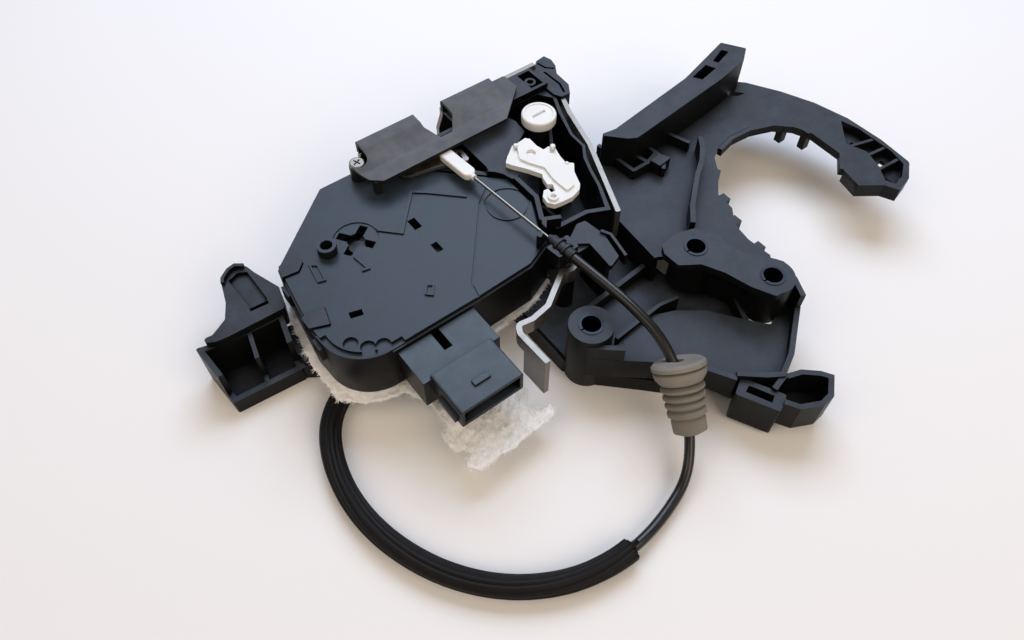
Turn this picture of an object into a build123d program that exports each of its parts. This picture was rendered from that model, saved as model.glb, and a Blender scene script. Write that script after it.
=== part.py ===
"""Vehicle door latch with its electric actuator, release cable and carrier bracket.

The unit lies on a flat surface with the cover of its actuator case facing up. The origin is on
the bore axis of the lower left eyelet, at the level of that surface. +Z is the cover's normal,
+X runs along the connector's long edge and +Y points towards the steel latch face plate.
"""

from build123d import *

import os
from math import cos, pi, radians, sin, tan

os.makedirs("parts", exist_ok=True)

# Clearances
SEAT = 0.3              # between soft or curved pieces that lie against each other
RUN_FIT = 0.05          # radial, between a shaft and its bore

# Levels above the surface that the unit lies on
BASE_TOP = 12.0         # carrier's low base plate
BASE_THK = 3.0
DECK_TOP = 30.0         # carrier's deck and curved arm
PAN_TOP = 20.0          # carrier's dish
BAR_TOP = 40.0          # raised bar with two eyelets
BEAM_TOP = 50.0         # carrier's top beam
WING_TOP = 28.0         # carrier's left wing
CASE_TOP = 40.0
FRAME_TOP = 45.0        # walls of the latch frame
WIRE_LEVEL = 47.9       # axis of the inner wire
BEAD_TOP = 49.6         # top of the bead on the inner wire
BEAD_CLEAR = 0.4        # between that bead and the shield over it
CASE_SKIRT = 16.0       # lowest level of the wing's horn, clear of the felt pad

# Walls
CARRIER_WALL = 2.5
CASE_WALL = 2.0
FRAME_WALL = 2.2
PAD_THK = 2.4
COVER_THK = 2.2
STEEL_THK = 2.5

CASE_BASE = BASE_TOP + PAD_THK + 2 * SEAT
CASE_FLOOR = CASE_BASE + CASE_WALL
COVER_TOP = CASE_TOP + COVER_THK

# Eyelets of the carrier: plan position and level of the rim
EYELET_R = 10.35
BUSH_OUTER_R = 5.8
BUSH_BORE_R = 4.45
BUSH_PROUD = 0.4
EYELETS = [((0.0, 0.0), 36.0), ((66.1, 2.3), BAR_TOP), ((81.7, -31.5), BAR_TOP)]

# Latch mechanism, in the plane of the face plate (x, z)
STRIKER_X = 11.0
MOUTH_HALF = 6.5
MOUTH_FLARE = 9.5
MOUTH_BOTTOM = 24.2
CATCH_AXIS = (-5.0, 25.0)
PAWL_AXIS = (36.0, 18.0)
CATCH_PIN_R = 4.0
PAWL_PIN_R = 3.5
CATCH_REACH = 21.8
CATCH_CLEAR = 0.4       # over the catch when it stands upright
ROOF_THK = 1.8
LOCK_TOP = CATCH_AXIS[1] + CATCH_REACH + CATCH_CLEAR + ROOF_THK  # compartment of catch and pawl
CATCH_THK = 5.0
CATCH_BACK = 137.5      # y of the catch's rear face
FACE_BACK = 145.3       # y of the face plate's rear face
BACKING_BACK = 132.0    # y of the backing plate's rear face
BACKING_THK = 2.0
FACE_LEFT = -30.0
FACE_RIGHT = 80.0
FACE_BOTTOM = 4.0
TAPPED_R = 3.0
TAPPED_HOLES = [(-21.0, 40.0), (62.0, 39.0), (62.0, 14.0)]

# Drive train inside the case
GEAR_AXIS = (-59.5, 100.9)
GEAR_TEETH = 36
GEAR_PITCH_R = 16.5
TOOTH_HALF_DEPTH = 1.0
GEAR_LOW = 25.5
GEAR_THK = 6.0
GEAR_PIN_R = 2.0
WORM_PITCH_R = 3.9
WORM_CORE_R = 2.8
WORM_SHAFT_R = 1.5
MOTOR_R = 12.0
MOTOR_FLATS = 18.5
MOTOR_LENGTH = 30.0
MOTOR_LEFT = -38.0
DRIVE_LEVEL = GEAR_LOW + GEAR_THK / 2
WORM_Y = GEAR_AXIS[1] - GEAR_PITCH_R - WORM_PITCH_R
CIRCULAR_PITCH = 2 * pi * GEAR_PITCH_R / GEAR_TEETH

# Levers
CAM_AXIS = (57.0, 110.0)
CAM_R = 9.1
CAM_TOP = 52.0
LEVER_AXIS = (41.0, 79.0)
STEM_R = 3.5
RELEASE_AXIS = (11.0, 31.0)
INSIDE_AXIS = (-16.0, 122.5)
PIVOT_R = 2.5
PEG_R = 1.6

# Screws that hold the case to the carrier
SCREW_PLACES = [(-84, 76), (-48, 88), (8, 80)]
SCREW_R = 2.0
SCREW_BOSS_R = 4.5

# Release cable
SHEATH_R = 2.35
WIRE_R = 0.8
WIRE_BORE_R = 1.1
FERRULE_R = 3.2
FERRULE_LENGTH = 14.0
WIRE_HEADING = -85.0    # degrees in plan
FERRULE_START = (10.2, 41.0)
SLEEVE_R = 5.0
STROKE = 10.0
SLOT_CLEAR = 0.5        # at the far end of the inside release lever's slot
BEAD_FRONT = -56.0      # along the wire, from the ferrule's mouth
BEAD_LENGTH = 20.0
BEAD_R = 3.5


def plate(points, low, high, corner=0.0, mode=Mode.ADD):
    """Extrude a plan outline between two levels, with its corners rounded."""
    with BuildSketch(Plane.XY.offset(low)) as plan:
        Polygon(*points, align=None)
        if corner > 0:
            fillet(plan.vertices(), corner)
    extrude(plan.sketch, amount=high - low, mode=mode)


def wall(points, low, high, thickness=CARRIER_WALL, mode=Mode.ADD):
    """Stand a wall of even thickness on a plan line."""
    with BuildSketch(Plane.XY.offset(low)) as plan:
        with BuildLine():
            Polyline(*points)
        trace(line_width=thickness)
    extrude(plan.sketch, amount=high - low, mode=mode)


def post(centre, radius, low, high, mode=Mode.ADD):
    """Stand a round post, or cut a round hole, between two levels."""
    with BuildSketch(Plane.XY.offset(low)) as plan:
        with Locations(centre):
            Circle(radius)
    extrude(plan.sketch, amount=high - low, mode=mode)


def block(x_span, y_span, z_span, mode=Mode.ADD):
    """A straight block between pairs of x, y and z."""
    with BuildSketch(Plane.XY.offset(z_span[0])) as plan:
        with Locations(((x_span[0] + x_span[1]) / 2, (y_span[0] + y_span[1]) / 2)):
            Rectangle(x_span[1] - x_span[0], y_span[1] - y_span[0])
    extrude(plan.sketch, amount=z_span[1] - z_span[0], mode=mode)


def cross_post(centre, radius, back, front, mode=Mode.ADD):
    """A round post, or hole, along Y at (x, z) between two values of y."""
    with BuildSketch(Plane.XZ.offset(-back)) as plan:
        with Locations(centre):
            Circle(radius)
    extrude(plan.sketch, amount=-(front - back), mode=mode)


def along(start, heading, distance):
    """The plan point that lies a distance from a start along a heading in degrees."""
    return (
        start[0] + distance * cos(radians(heading)),
        start[1] + distance * sin(radians(heading)),
    )


PEG = along(FERRULE_START, WIRE_HEADING, BEAD_FRONT - BEAD_LENGTH)

# ---------------------------------------------------------------------------------------------
# Carrier bracket: one moulding with a left wing, a spine under the case and the right body
# ---------------------------------------------------------------------------------------------

BASE_OUTLINE = [
    (-110, 78), (-105.5, 99), (-60, 96), (20, 91), (73, 88), (58, 40), (62, 12), (74, -18),
    (60, -50), (46, -64), (38, -57), (31, -43), (14, -25), (-2, -9), (-9, 6), (-9, 44),
    (-20, 66), (-95, 68),
]
DECK_LEFT = [(71.5, 88), (56.5, 42), (54, 14)]
DECK_OUTLINE = [
    *DECK_LEFT, (64, 8), (92, -26), (98.5, -18), (95, -5), (97, 7), (104.5, 16), (105.5, 27),
    (114, 34), (120.5, 36), (121, 39), (126, 46), (133, 50), (144, 52.5), (157, 51.5),
    (170, 46), (178, 38), (182, 27), (182, 8), (173, -2), (170, -14), (181, -22), (184, -29),
    (195, -26.5), (205, -19), (207.5, 1), (207, 23), (202.5, 43), (195, 61), (185, 78.5),
    (176, 88), (138, 84.5), (82, 79),
]
BEAM_OUTLINE = [
    (72.2, 80.2), (82, 78.5), (139, 86), (177, 96.5), (184.5, 84.3), (176, 78), (154, 73.8),
    (86.5, 66.8), (82, 69.5),
]
BEAM_POCKETS = [
    [(142.5, 84.3), (156, 87.6), (158.2, 82), (145.5, 79.6)],
    [(161.5, 87.6), (172.5, 91.8), (174.5, 88), (162.8, 84.6)],
]
BAR_OUTLINE = [
    (51.3, 8), (54, 12.5), (64.5, 14), (73.8, 10.8), (78.6, 3), (78.8, -7), (81.5, -15), (88.5, -23),
    (92.2, -29), (89.8, -37), (84, -41.5), (74, -40.5), (69, -30), (65.5, -17), (60.5, -7), (51.6, -1),
]
BAR_CORE = [(60, 4), (66, 8), (72, 2), (74, -10), (84, -26), (84, -36), (77, -34), (72, -18), (66, -4)]
PAN_OUTLINE = [
    (2, -9), (33, -5), (45, -10), (57, -19), (67, -33), (75, -43), (92, -37), (88, -47),
    (66, -63), (55, -68), (48, -63), (38, -55), (31, -43), (14, -25),
]
LIP_LINE = [(-7.5, -6.5), (2, -15), (14.5, -25.5), (31, -43.5), (38, -55.5)]
BLOCK_OUTLINE = [(41, -55.5), (50, -74), (41.5, -78), (32.5, -60)]
SLOT_OUTLINE = [(40.5, -60.5), (45.5, -71), (42, -72.8), (37, -62)]
HOOK_LINE = [(45.5, -76), (49, -82), (58, -86.5), (64, -86), (71.5, -80), (69, -76), (63, -70.5), (56, -68)]
WING_BOX = [(-143, 78), (-109.2, 75.3), (-104.2, 98), (-135, 101), (-145, 104)]
HORN_OUTLINE = [
    (-102.4, 97), (-98.8, 109.5), (-104, 124.5), (-105.4, 130.3), (-109.8, 133.5), (-114, 132.8),
    (-119.2, 129.1), (-122.9, 116), (-127.4, 107.5), (-135.6, 103), (-145, 104), (-135, 98),
]
HORN_HOLLOW = [
    (-104.5, 109), (-102, 110.5), (-106.8, 124), (-108, 129), (-110.4, 130.8), (-113.2, 130.1),
    (-116.9, 127.6), (-120.3, 115.5), (-122.5, 109),
]
HORN_TROUGH = [(-116.2, 127.2), (-110.6, 129.2), (-106.6, 127), (-106.4, 106.4), (-115.3, 107)]
HORN_POCKET = [(-115.3, 108), (-106.3, 107.4), (-107.1, 103.7), (-116, 104.5)]
HORN_RIM = [(-119.2, 126), (-118, 128.5), (-113.6, 131.7), (-109.9, 132.4), (-106.5, 129.8)]
FIN_LINE = [(122, 55), (117, 48.5), (110, 42), (101, 36), (92, 29), (84, 22.5), (76, 14)]
RIB_LINES = [
    [(78.5, 86), (80.5, 60)],
    [(85, 84), (90.5, 60.5)],
    [(80.5, 60.5), (90.5, 60.5), (98, 63)],
    [(98, 75), (99, 58), (93.5, 52)],
    [(112, 77), (118, 58)],
]
ARM_WINDOWS = [(197.4, 9.8), (191.6, -5.5), (198.5, -9.0), (189.6, -18.5)]
TIP_POCKET = [
    (202.5, 24), (205, 14), (204.6, -8), (201.6, -18.2), (193.5, -23.3), (186.2, -25), (184, -20),
    (190.5, -10),
    (193.8, 0), (190, 10.5),
]
TIP_BARS = [[(188, 9), (205, 4)], [(192, -2), (206, -4)], [(189, -12.5), (205, -14)]]
EDGE_CLIPS = [(107, 22), (100.5, 8), (97, -11)]
ARM_TABS = [(176.4, 41.5), (182.4, 30)]
ARM_INNER = [
    (173, -1), (182.5, 7), (183, 27), (179, 37), (170.5, 45), (157, 50), (144, 51), (133, 48.5),
]
ARM_OUTER = [(176, 86), (184, 77), (194, 60), (201.4, 42.5), (205.8, 23), (206.3, 1), (204, -18.5)]
ARM_TIP = [(204, -18.5), (194.5, -25.3), (184.8, -27.6), (181.6, -21), (171.4, -13.4), (174.3, -2.5)]
BAY_EDGE = [(121, 38), (113.6, 32.8), (106.5, 26), (105.3, 15), (98.2, 6.5), (96.2, -5), (97, -17)]
PAN_RIM = [(93, -36), (88, -46), (66, -61.5), (55, -66.5), (48.8, -62.5), (39, -54)]
PAN_RIDGE = [(11, -6.5), (24, -5.5), (40, -4.5), (50, -6.5)]

with BuildPart() as carrier_bracket:
    plate(BASE_OUTLINE, BASE_TOP - BASE_THK, BASE_TOP, corner=1.5)
    wall([BASE_OUTLINE[0], *BASE_OUTLINE[:-8:-1]], 0, BASE_TOP - BASE_THK + 0.5)
    wall(BASE_OUTLINE[1:5], 4, BASE_TOP - BASE_THK + 0.5)
    plate(DECK_OUTLINE, DECK_TOP - CARRIER_WALL, DECK_TOP, corner=0.8)
    wall(DECK_LEFT, BASE_TOP - 1, DECK_TOP)
    wall(ARM_INNER, DECK_TOP - 4.5, DECK_TOP)
    wall(ARM_OUTER, DECK_TOP - 9, DECK_TOP)
    wall(ARM_TIP, DECK_TOP - 8, DECK_TOP)
    wall(BAY_EDGE, DECK_TOP - 10, DECK_TOP)
    # Top beam: a box that is open below, with two pockets at its free end
    plate(BEAM_OUTLINE, DECK_TOP - 1, BEAM_TOP, corner=1.0)
    # Raised bar that joins the two right eyelets
    plate(BAR_OUTLINE, BAR_TOP - 4, BAR_TOP, corner=2.0)
    plate(BAR_CORE, PAN_TOP - 1, BAR_TOP - 1, corner=1.0)
    for centre, rim in EYELETS[1:]:
        post(centre, EYELET_R, PAN_TOP - 3, rim)
    # Dish, its rim and the wall along its front
    plate(PAN_OUTLINE, PAN_TOP - CARRIER_WALL, PAN_TOP, corner=0.8)
    wall(PAN_RIM, BASE_TOP - 2, PAN_TOP + 6)
    wall(PAN_RIM[:2], PAN_TOP, BAR_TOP - 5)
    wall(LIP_LINE, BASE_TOP - 1, PAN_TOP + 5)
    wall([(-7.5, -6.5), (5, -17.5)], BASE_TOP - 1, EYELETS[0][1] - 3)
    wall([(45, -64), (62, -48), (75, -20), (62, 12)], 0, PAN_TOP - 1)
    # Lower left eyelet, with webs to the deck and to the lip
    post(EYELETS[0][0], EYELET_R, 0, EYELETS[0][1])
    wall([(4, 8), (17, 17), (55, 20)], BASE_TOP - 1, BASE_TOP + 7)
    wall(PAN_RIDGE, BASE_TOP - 1, PAN_TOP + 3, thickness=1.8)
    # Slotted block and hook at the front corner
    plate(BLOCK_OUTLINE, 3, PAN_TOP + 3, corner=1.2)
    wall(HOOK_LINE, 8, PAN_TOP + 5)
    wall([(47, -69), (56, -67)], 8, PAN_TOP + 5)
    plate(HOOK_LINE, 8, 10)
    # Fin and ribs on the deck
    wall(FIN_LINE, DECK_TOP - 1, BAR_TOP)
    for rib in RIB_LINES:
        wall(rib, DECK_TOP - 1, DECK_TOP + 6, thickness=2.0)
    plate([(92.5, 54), (91.5, 60), (98.5, 61), (101, 55)], DECK_TOP - 1, DECK_TOP + 7)
    for centre in EDGE_CLIPS:
        block((centre[0] - 3.5, centre[0] + 3.5), (centre[1] - 2.5, centre[1] + 2.5),
              (DECK_TOP - 10, DECK_TOP))
    for centre in ARM_TABS:
        block((centre[0] - 2.5, centre[0] + 2.0), (centre[1] - 2.0, centre[1] + 2.0),
              (DECK_TOP - 12, DECK_TOP))
    # Left wing: a box that is open on top, and a horn over its rear
    plate(WING_BOX, 0, WING_TOP - 4, corner=1.0)
    plate(HORN_OUTLINE, CASE_SKIRT, WING_TOP, corner=1.5)
    wall(HORN_RIM, WING_TOP - 1, WING_TOP + 2.5, thickness=1.6)

    # Hollows
    plate([(-140.6, 80.6), (-126.5, 79.6), (-122.5, 97), (-134, 98.3), (-142, 100)], 3, WING_TOP + 1,
          mode=Mode.SUBTRACT)
    plate([(-124.5, 79.4), (-111.2, 78.2), (-107, 96), (-120.5, 96.8)], 3, WING_TOP + 1, mode=Mode.SUBTRACT)
    plate([(-146, 74), (-107.6, 73), (-106.9, 81.3), (-142.8, 84)], 9, WING_TOP, mode=Mode.SUBTRACT)
    plate(HORN_HOLLOW, CASE_SKIRT - 1, WING_TOP - 4, mode=Mode.SUBTRACT)
    plate(HORN_TROUGH, WING_TOP - 2.2, WING_TOP, mode=Mode.SUBTRACT)
    plate(HORN_POCKET, WING_TOP - 9, WING_TOP, mode=Mode.SUBTRACT)
    plate([(86, 75.5), (138, 83), (139.5, 75.5), (90, 69.6)], DECK_TOP - 4, BEAM_TOP - CARRIER_WALL,
          mode=Mode.SUBTRACT)
    for pocket in BEAM_POCKETS:
        plate(pocket, BEAM_TOP - 12, BEAM_TOP + 1, mode=Mode.SUBTRACT)
    plate([(166.5, 78.5), (172.5, 73.2), (177.5, 72.2), (172.5, 78.6)], DECK_TOP - 4, DECK_TOP + 1,
          mode=Mode.SUBTRACT)
    plate(TIP_POCKET, DECK_TOP - 6, DECK_TOP + 1, mode=Mode.SUBTRACT)
    plate(TIP_POCKET, DECK_TOP - 8, DECK_TOP - 5.5)
    for bar in TIP_BARS:
        wall(bar, DECK_TOP - 7, DECK_TOP - 0.6, thickness=1.6)
    for centre in ARM_WINDOWS:
        block((centre[0] - 2.4, centre[0] + 2.4), (centre[1] - 2.2, centre[1] + 2.2),
              (DECK_TOP - 14, DECK_TOP - 1), mode=Mode.SUBTRACT)
    plate(SLOT_OUTLINE, 0, PAN_TOP + 4, mode=Mode.SUBTRACT)
    for centre in SCREW_PLACES:
        post(centre, SCREW_R, BASE_TOP - BASE_THK - 1, BASE_TOP + 1, mode=Mode.SUBTRACT)
    for centre, rim in EYELETS:
        post(centre, BUSH_OUTER_R, -1, rim + 1, mode=Mode.SUBTRACT)
carrier_bracket.part.label = "carrier_bracket"
export_step(carrier_bracket.part, "parts/carrier_bracket.step")

# ---------------------------------------------------------------------------------------------
# Compression bushes: rolled from strip, so each has a narrow slit
# ---------------------------------------------------------------------------------------------

for number, (centre, rim) in enumerate(EYELETS, start=1):
    low = 0 if number == 1 else PAN_TOP - 3
    with BuildPart() as compression_bush:
        post(centre, BUSH_OUTER_R, low, rim + BUSH_PROUD)
        post(centre, BUSH_BORE_R, low, rim + BUSH_PROUD, mode=Mode.SUBTRACT)
        slit_x = centre[0] - (BUSH_OUTER_R + BUSH_BORE_R) / 2
        block((slit_x - 1.5, slit_x + 1.5), (centre[1] - 0.4, centre[1] + 0.4), (low, rim + BUSH_PROUD),
              mode=Mode.SUBTRACT)
    compression_bush.part.label = f"compression_bush_{number}"
    export_step(compression_bush.part, f"parts/compression_bush_{number}.step")

# ---------------------------------------------------------------------------------------------
# Actuator case: felt pad, rear case and front cover
# ---------------------------------------------------------------------------------------------

CASE_OUTLINE = [
    (-57, 141), (-97, 108), (-102, 70), (-100, 38), (-34, 38), (-3, 39), (12, 45), (15, 57),
    (22, 70), (22, 90), (14, 98), (-15.2, 128.5), (-27, 128.5), (-27, 141),
]
CASE_CORNER_R = 22.0
COVER_INSET = 1.0
RIM_THK = COVER_INSET - SEAT
CHANNEL_WIDTH = 2.6     # dark channel between the case's rim and the cover's face
CASE_HOOKS = [
    [(-98.2, 100.5), (-90.1, 99.4), (-86.2, 103), (-86.2, 106.5), (-93.5, 108.2), (-96.4, 107)],
    [(-102, 68.4), (-93.5, 65), (-90.8, 74.8), (-98.5, 76.6), (-102.1, 75)],
]
CASE_CLIPS = [(-98.6, 96), (-101.8, 62)]


def case_plan(level, inset):
    """The case's outline at a level, moved inwards by an inset."""
    with BuildSketch(Plane.XY.offset(level)) as plan:
        Polygon(*CASE_OUTLINE, align=None)
        fillet(plan.vertices().group_by(Axis.Y)[0].sort_by(Axis.X)[0], CASE_CORNER_R)
        if inset:
            offset(amount=-inset, kind=Kind.INTERSECTION)
    return plan.sketch


with BuildPart() as felt_pad:
    PAD_LOW = BASE_TOP + SEAT
    plate([(-58, 143), (-100, 110.5), (-107.2, 72), (-107.2, 48), (-98, 38), (-86, 33), (-79, 32),
           (-79, -13), (-76, -18), (-71, -19.5), (-33, -17), (-30, -11), (-37, -10.5), (-40, -5), (-35, 0),
           (-34, 34), (-6, 36), (12, 42.5), (15, 55), (15, 92), (-17, 126.5), (-29, 126.5), (-29, 140)],
          PAD_LOW, PAD_LOW + PAD_THK, corner=0.9)
    for centre in SCREW_PLACES:
        post(centre, SCREW_BOSS_R + SEAT, PAD_LOW, PAD_LOW + PAD_THK, mode=Mode.SUBTRACT)
felt_pad.part.label = "felt_pad"
export_step(felt_pad.part, "parts/felt_pad.step")

with BuildPart() as rear_case:
    extrude(case_plan(CASE_BASE, 0), amount=CASE_TOP - CASE_BASE)
    extrude(case_plan(CASE_FLOOR, CASE_WALL), amount=CASE_TOP - CASE_FLOOR, mode=Mode.SUBTRACT)
    # Screw bosses, which reach down through the pad to the carrier
    for centre in SCREW_PLACES:
        post(centre, SCREW_BOSS_R, BASE_TOP, CASE_FLOOR + 6)
    # Gear boss, motor cradle and the seat of the microswitches
    post(GEAR_AXIS, GEAR_PIN_R + 3, CASE_FLOOR - 1, GEAR_LOW - 0.2)
    for x in (MOTOR_LEFT + 4, MOTOR_LEFT + MOTOR_LENGTH - 6):
        block((x, x + 2), (WORM_Y - MOTOR_R - 2, WORM_Y + MOTOR_R + 2), (CASE_FLOOR - 1, DRIVE_LEVEL))
    block((-66, -38), (121, 129), (CASE_FLOOR - 1, CASE_FLOOR + 3))
    block((-80, -75), (WORM_Y - 5, WORM_Y + 5), (CASE_FLOOR - 1, DRIVE_LEVEL + 3.5))
    with BuildSketch(Plane.YZ.offset(-79)) as bearing:
        with Locations((WORM_Y, DRIVE_LEVEL)):
            Circle(WORM_SHAFT_R + RUN_FIT)
    extrude(bearing.sketch, amount=5, mode=Mode.SUBTRACT)
    # Stiffening ribs on the floor
    wall([(-100, 60), (-40, 60), (-2, 42)], CASE_FLOOR - 1, CASE_FLOOR + 6, thickness=1.6)
    wall([(-70, 42), (-70, 62)], CASE_FLOOR - 1, CASE_FLOOR + 6, thickness=1.6)
    wall([(-40, 60), (-40, 68)], CASE_FLOOR - 1, CASE_FLOOR + 6, thickness=1.6)
    # Snap hooks that stand up through the cover, and clips on the wall below them
    for hook in CASE_HOOKS:
        plate(hook, CASE_TOP - 6, COVER_TOP + 1.2)
    for x, y in CASE_CLIPS:
        block((x - 1.6, x + 1.2), (y - 3.5, y + 3.5), (CASE_TOP - 9, CASE_TOP - 1))
    # Rim round the cover's lower left corner
    with BuildSketch(Plane.XY.offset(CASE_TOP)) as rim:
        add(case_plan(CASE_TOP, 0))
        add(case_plan(CASE_TOP, RIM_THK), mode=Mode.SUBTRACT)
        Polygon((-110, 30), (-79, 30), (-79, 45), (-95, 64), (-110, 64), align=None, mode=Mode.INTERSECT)
    extrude(rim.sketch, amount=COVER_THK)
    block((MOTOR_LEFT, MOTOR_LEFT + MOTOR_LENGTH), (WORM_Y - MOTOR_R, WORM_Y + MOTOR_R),
          (DRIVE_LEVEL - MOTOR_FLATS / 2, CASE_TOP), mode=Mode.SUBTRACT)
    for centre in SCREW_PLACES:
        post(centre, SCREW_R, BASE_TOP - 1, CASE_FLOOR + 6, mode=Mode.SUBTRACT)
    post(GEAR_AXIS, GEAR_PIN_R, CASE_FLOOR - 1, GEAR_LOW, mode=Mode.SUBTRACT)
rear_case.part.label = "rear_case"
export_step(rear_case.part, "parts/rear_case.step")

SHIELD_SCREW = (-36.5, 135.4)
SHIELD_BOSS_R = 4.2
# Underside of the shield's flat front, clear of the compartment and of the cable bead
SHIELD_LOW = max(LOCK_TOP + 1.0, BEAD_TOP + BEAD_CLEAR)
SHIELD_SCREW_HEAD = SHIELD_LOW  # level of the head's underside
RING_AXIS = (10.5, 75.8)
RING_R = 11.2
CUP_AXIS = (-73.6, 102.0)
CUP_R = 4.6
CUP_HEIGHT = 5.0
SCALLOPS = [(-91.5, 51.5), (-86.5, 45.5), (-80.5, 42.6)]

with BuildPart() as front_cover:
    extrude(case_plan(CASE_TOP, COVER_INSET), amount=COVER_THK)
    # Boss cup and small blocks that stand on the cover
    post(CUP_AXIS, CUP_R, COVER_TOP - 0.1, COVER_TOP + CUP_HEIGHT)
    post(CUP_AXIS, CUP_R - 1.7, COVER_TOP - 0.6, COVER_TOP + CUP_HEIGHT + 0.1, mode=Mode.SUBTRACT)
    wall([(-49, 100.5), (-40, 91), (-22, 111), (-15.5, 105.5), (-2, 92)], COVER_TOP - 0.1, COVER_TOP + 0.8,
         thickness=1.6)
    wall([(-84.4, 99.8), (-81.4, 97.6), (-83, 88), (-86, 89), (-84.4, 99.8)],
         COVER_TOP - 0.1, COVER_TOP + 0.9,
         thickness=0.9)
    wall([(-65.5, 92), (-64, 82), (-67, 82.6)], COVER_TOP - 0.1, COVER_TOP + 0.9, thickness=1.2)
    wall([(-51.5, 54), (-48.1, 57.9), (-45.7, 56.1), (-49.1, 51.6), (-51.5, 54)], COVER_TOP - 0.1,
         COVER_TOP + 0.9, thickness=0.8)
    # Windows
    plate([(-83.9, 66.2), (-78.2, 64.5), (-79, 61.2), (-84.7, 62.8)], CASE_TOP - 1, COVER_TOP + 1,
          mode=Mode.SUBTRACT)
    block((-34, -30), (89, 96), (CASE_TOP - 1, COVER_TOP + 1), mode=Mode.SUBTRACT)
    block((-33.5, -30), (71, 77), (CASE_TOP - 1, COVER_TOP + 1), mode=Mode.SUBTRACT)
    # Cross-shaped bearing hole over the hub of the drive gear, in a round recess
    post(GEAR_AXIS, 11, COVER_TOP - 0.6, COVER_TOP + 1, mode=Mode.SUBTRACT)
    post(GEAR_AXIS, 4.2, CASE_TOP - 1, COVER_TOP + 1, mode=Mode.SUBTRACT)
    for angle in (35, 125):
        start = along(GEAR_AXIS, angle, -9.5)
        end = along(GEAR_AXIS, angle, 9.5)
        wall([start, end], CASE_TOP - 1, COVER_TOP + 1, thickness=4.2, mode=Mode.SUBTRACT)
    # Joint line of the right-hand panel, and the round embossed ring
    wall([(9.5, 91), (0.8, 84.8), (-31.7, 46), (-33.5, 38.5)], COVER_TOP - 0.7, COVER_TOP + 1, thickness=1.2,
         mode=Mode.SUBTRACT)
    with BuildSketch(Plane.XY.offset(COVER_TOP - 0.6)) as groove:
        with Locations(RING_AXIS):
            Circle(RING_R)
            Circle(RING_R - 1.2, mode=Mode.SUBTRACT)
    extrude(groove.sketch, amount=1, mode=Mode.SUBTRACT)
    # Notches for the case's snap hooks
    for hook in CASE_HOOKS:
        with BuildSketch(Plane.XY.offset(CASE_TOP - 1)) as notch:
            Polygon(*hook, align=None)
            offset(amount=SEAT)
        extrude(notch.sketch, amount=COVER_THK + 2, mode=Mode.SUBTRACT)
    # Channel with scallops beside the case's rim
    with BuildSketch(Plane.XY.offset(CASE_TOP + 0.6)) as channel:
        add(case_plan(CASE_TOP + 0.6, 0))
        add(case_plan(CASE_TOP + 0.6, COVER_INSET + CHANNEL_WIDTH), mode=Mode.SUBTRACT)
        with Locations(*SCALLOPS):
            Circle(3.4)
        Polygon((-110, 30), (-72, 30), (-72, 46), (-90, 62), (-110, 62), align=None, mode=Mode.INTERSECT)
    extrude(channel.sketch, amount=COVER_THK, mode=Mode.SUBTRACT)
    # Boss for the shield's screw
    post(SHIELD_SCREW, SHIELD_BOSS_R, CASE_TOP, SHIELD_SCREW_HEAD)
    post(SHIELD_SCREW, SCREW_R, CASE_TOP + 0.5, SHIELD_SCREW_HEAD + 1, mode=Mode.SUBTRACT)
    # Post that carries the inside release lever
    post(INSIDE_AXIS, PIVOT_R + 1.1, COVER_TOP - 0.1, COVER_TOP + 1.2)
    post(INSIDE_AXIS, PIVOT_R, COVER_TOP, LOCK_TOP)
front_cover.part.label = "front_cover"
export_step(front_cover.part, "parts/front_cover.step")

with BuildPart() as case_screws:
    for centre in SCREW_PLACES:
        post(centre, SCREW_R, BASE_TOP - BASE_THK - 1, CASE_FLOOR + 5)
        post(centre, SCREW_R + 2, BASE_TOP - BASE_THK - 2.4, BASE_TOP - BASE_THK)
case_screws.part.label = "case_screws"
export_step(case_screws.part, "parts/case_screws.step")

# ---------------------------------------------------------------------------------------------
# Latch frame, its shield and the steel plates
# ---------------------------------------------------------------------------------------------

FRAME_OUTLINE = [
    (-20, 130), (77.8, 130), (77.8, 121), (72.6, 110), (66.2, 93), (65.6, 82.5), (60.5, 75.5), (57, 67),
    (53.5, 56.5), (46.5, 41),
    (36, 46), (18, 47), (15.5, 57), (22.4, 69.8), (22.4, 90.2), (14.3, 98.4),
    (-15, 129),
]
FRAME_CAVITY = [
    (-11, 128.8), (71, 128.8), (76, 121.5), (70.9, 110.5), (64.7, 93.3), (64.1, 83), (59.1, 76.2),
    (55.5, 67.5), (52, 57.1), (45.4, 44),
    (36.6, 48.2), (20, 49.2), (18, 56.6), (24.7, 69.2), (24.7, 91.2), (15.5, 100.8),
]
COMPARTMENT_BACK = 129.0
COMPARTMENT_LOW = 2.5
EAR_OUTLINE = [
    (77, 144.9), (83, 144.9), (83, 146.5), (87, 150), (93.2, 151), (94.5, 146), (93.2, 140.7), (89.3, 134.7),
    (88.6, 123.6), (84.5, 117.5), (79, 118), (77, 122),
]
EAR_GROOVES = [[(86.4, 148), (87.4, 142.5), (91, 139)], [(84.6, 140), (85, 127), (82.6, 120)]]
SLAB_OUTLINE = [
    (16.4, 130), (16.4, 97), (20, 91.5), (21.5, 86), (26, 86.1), (27.8, 99.8), (39.6, 105), (47.4, 109.5),
    (48.6, 119), (45, 130),
]
LEG_TOP = FRAME_TOP
LEG_LOW = DECK_TOP + 1.0
LEG_X = FACE_RIGHT + STEEL_THK / 2
LEG_LINE = [(LEG_X, 146), (LEG_X, 121), (75.6, 107), (68.2, 82), (48.6, 38)]
CAVITY_RIGHT = 66.5
RECESS = (68.6, 76.4)   # x of the recess round the ring boss
RING_BOSS = (72.5, 137.0)

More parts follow.
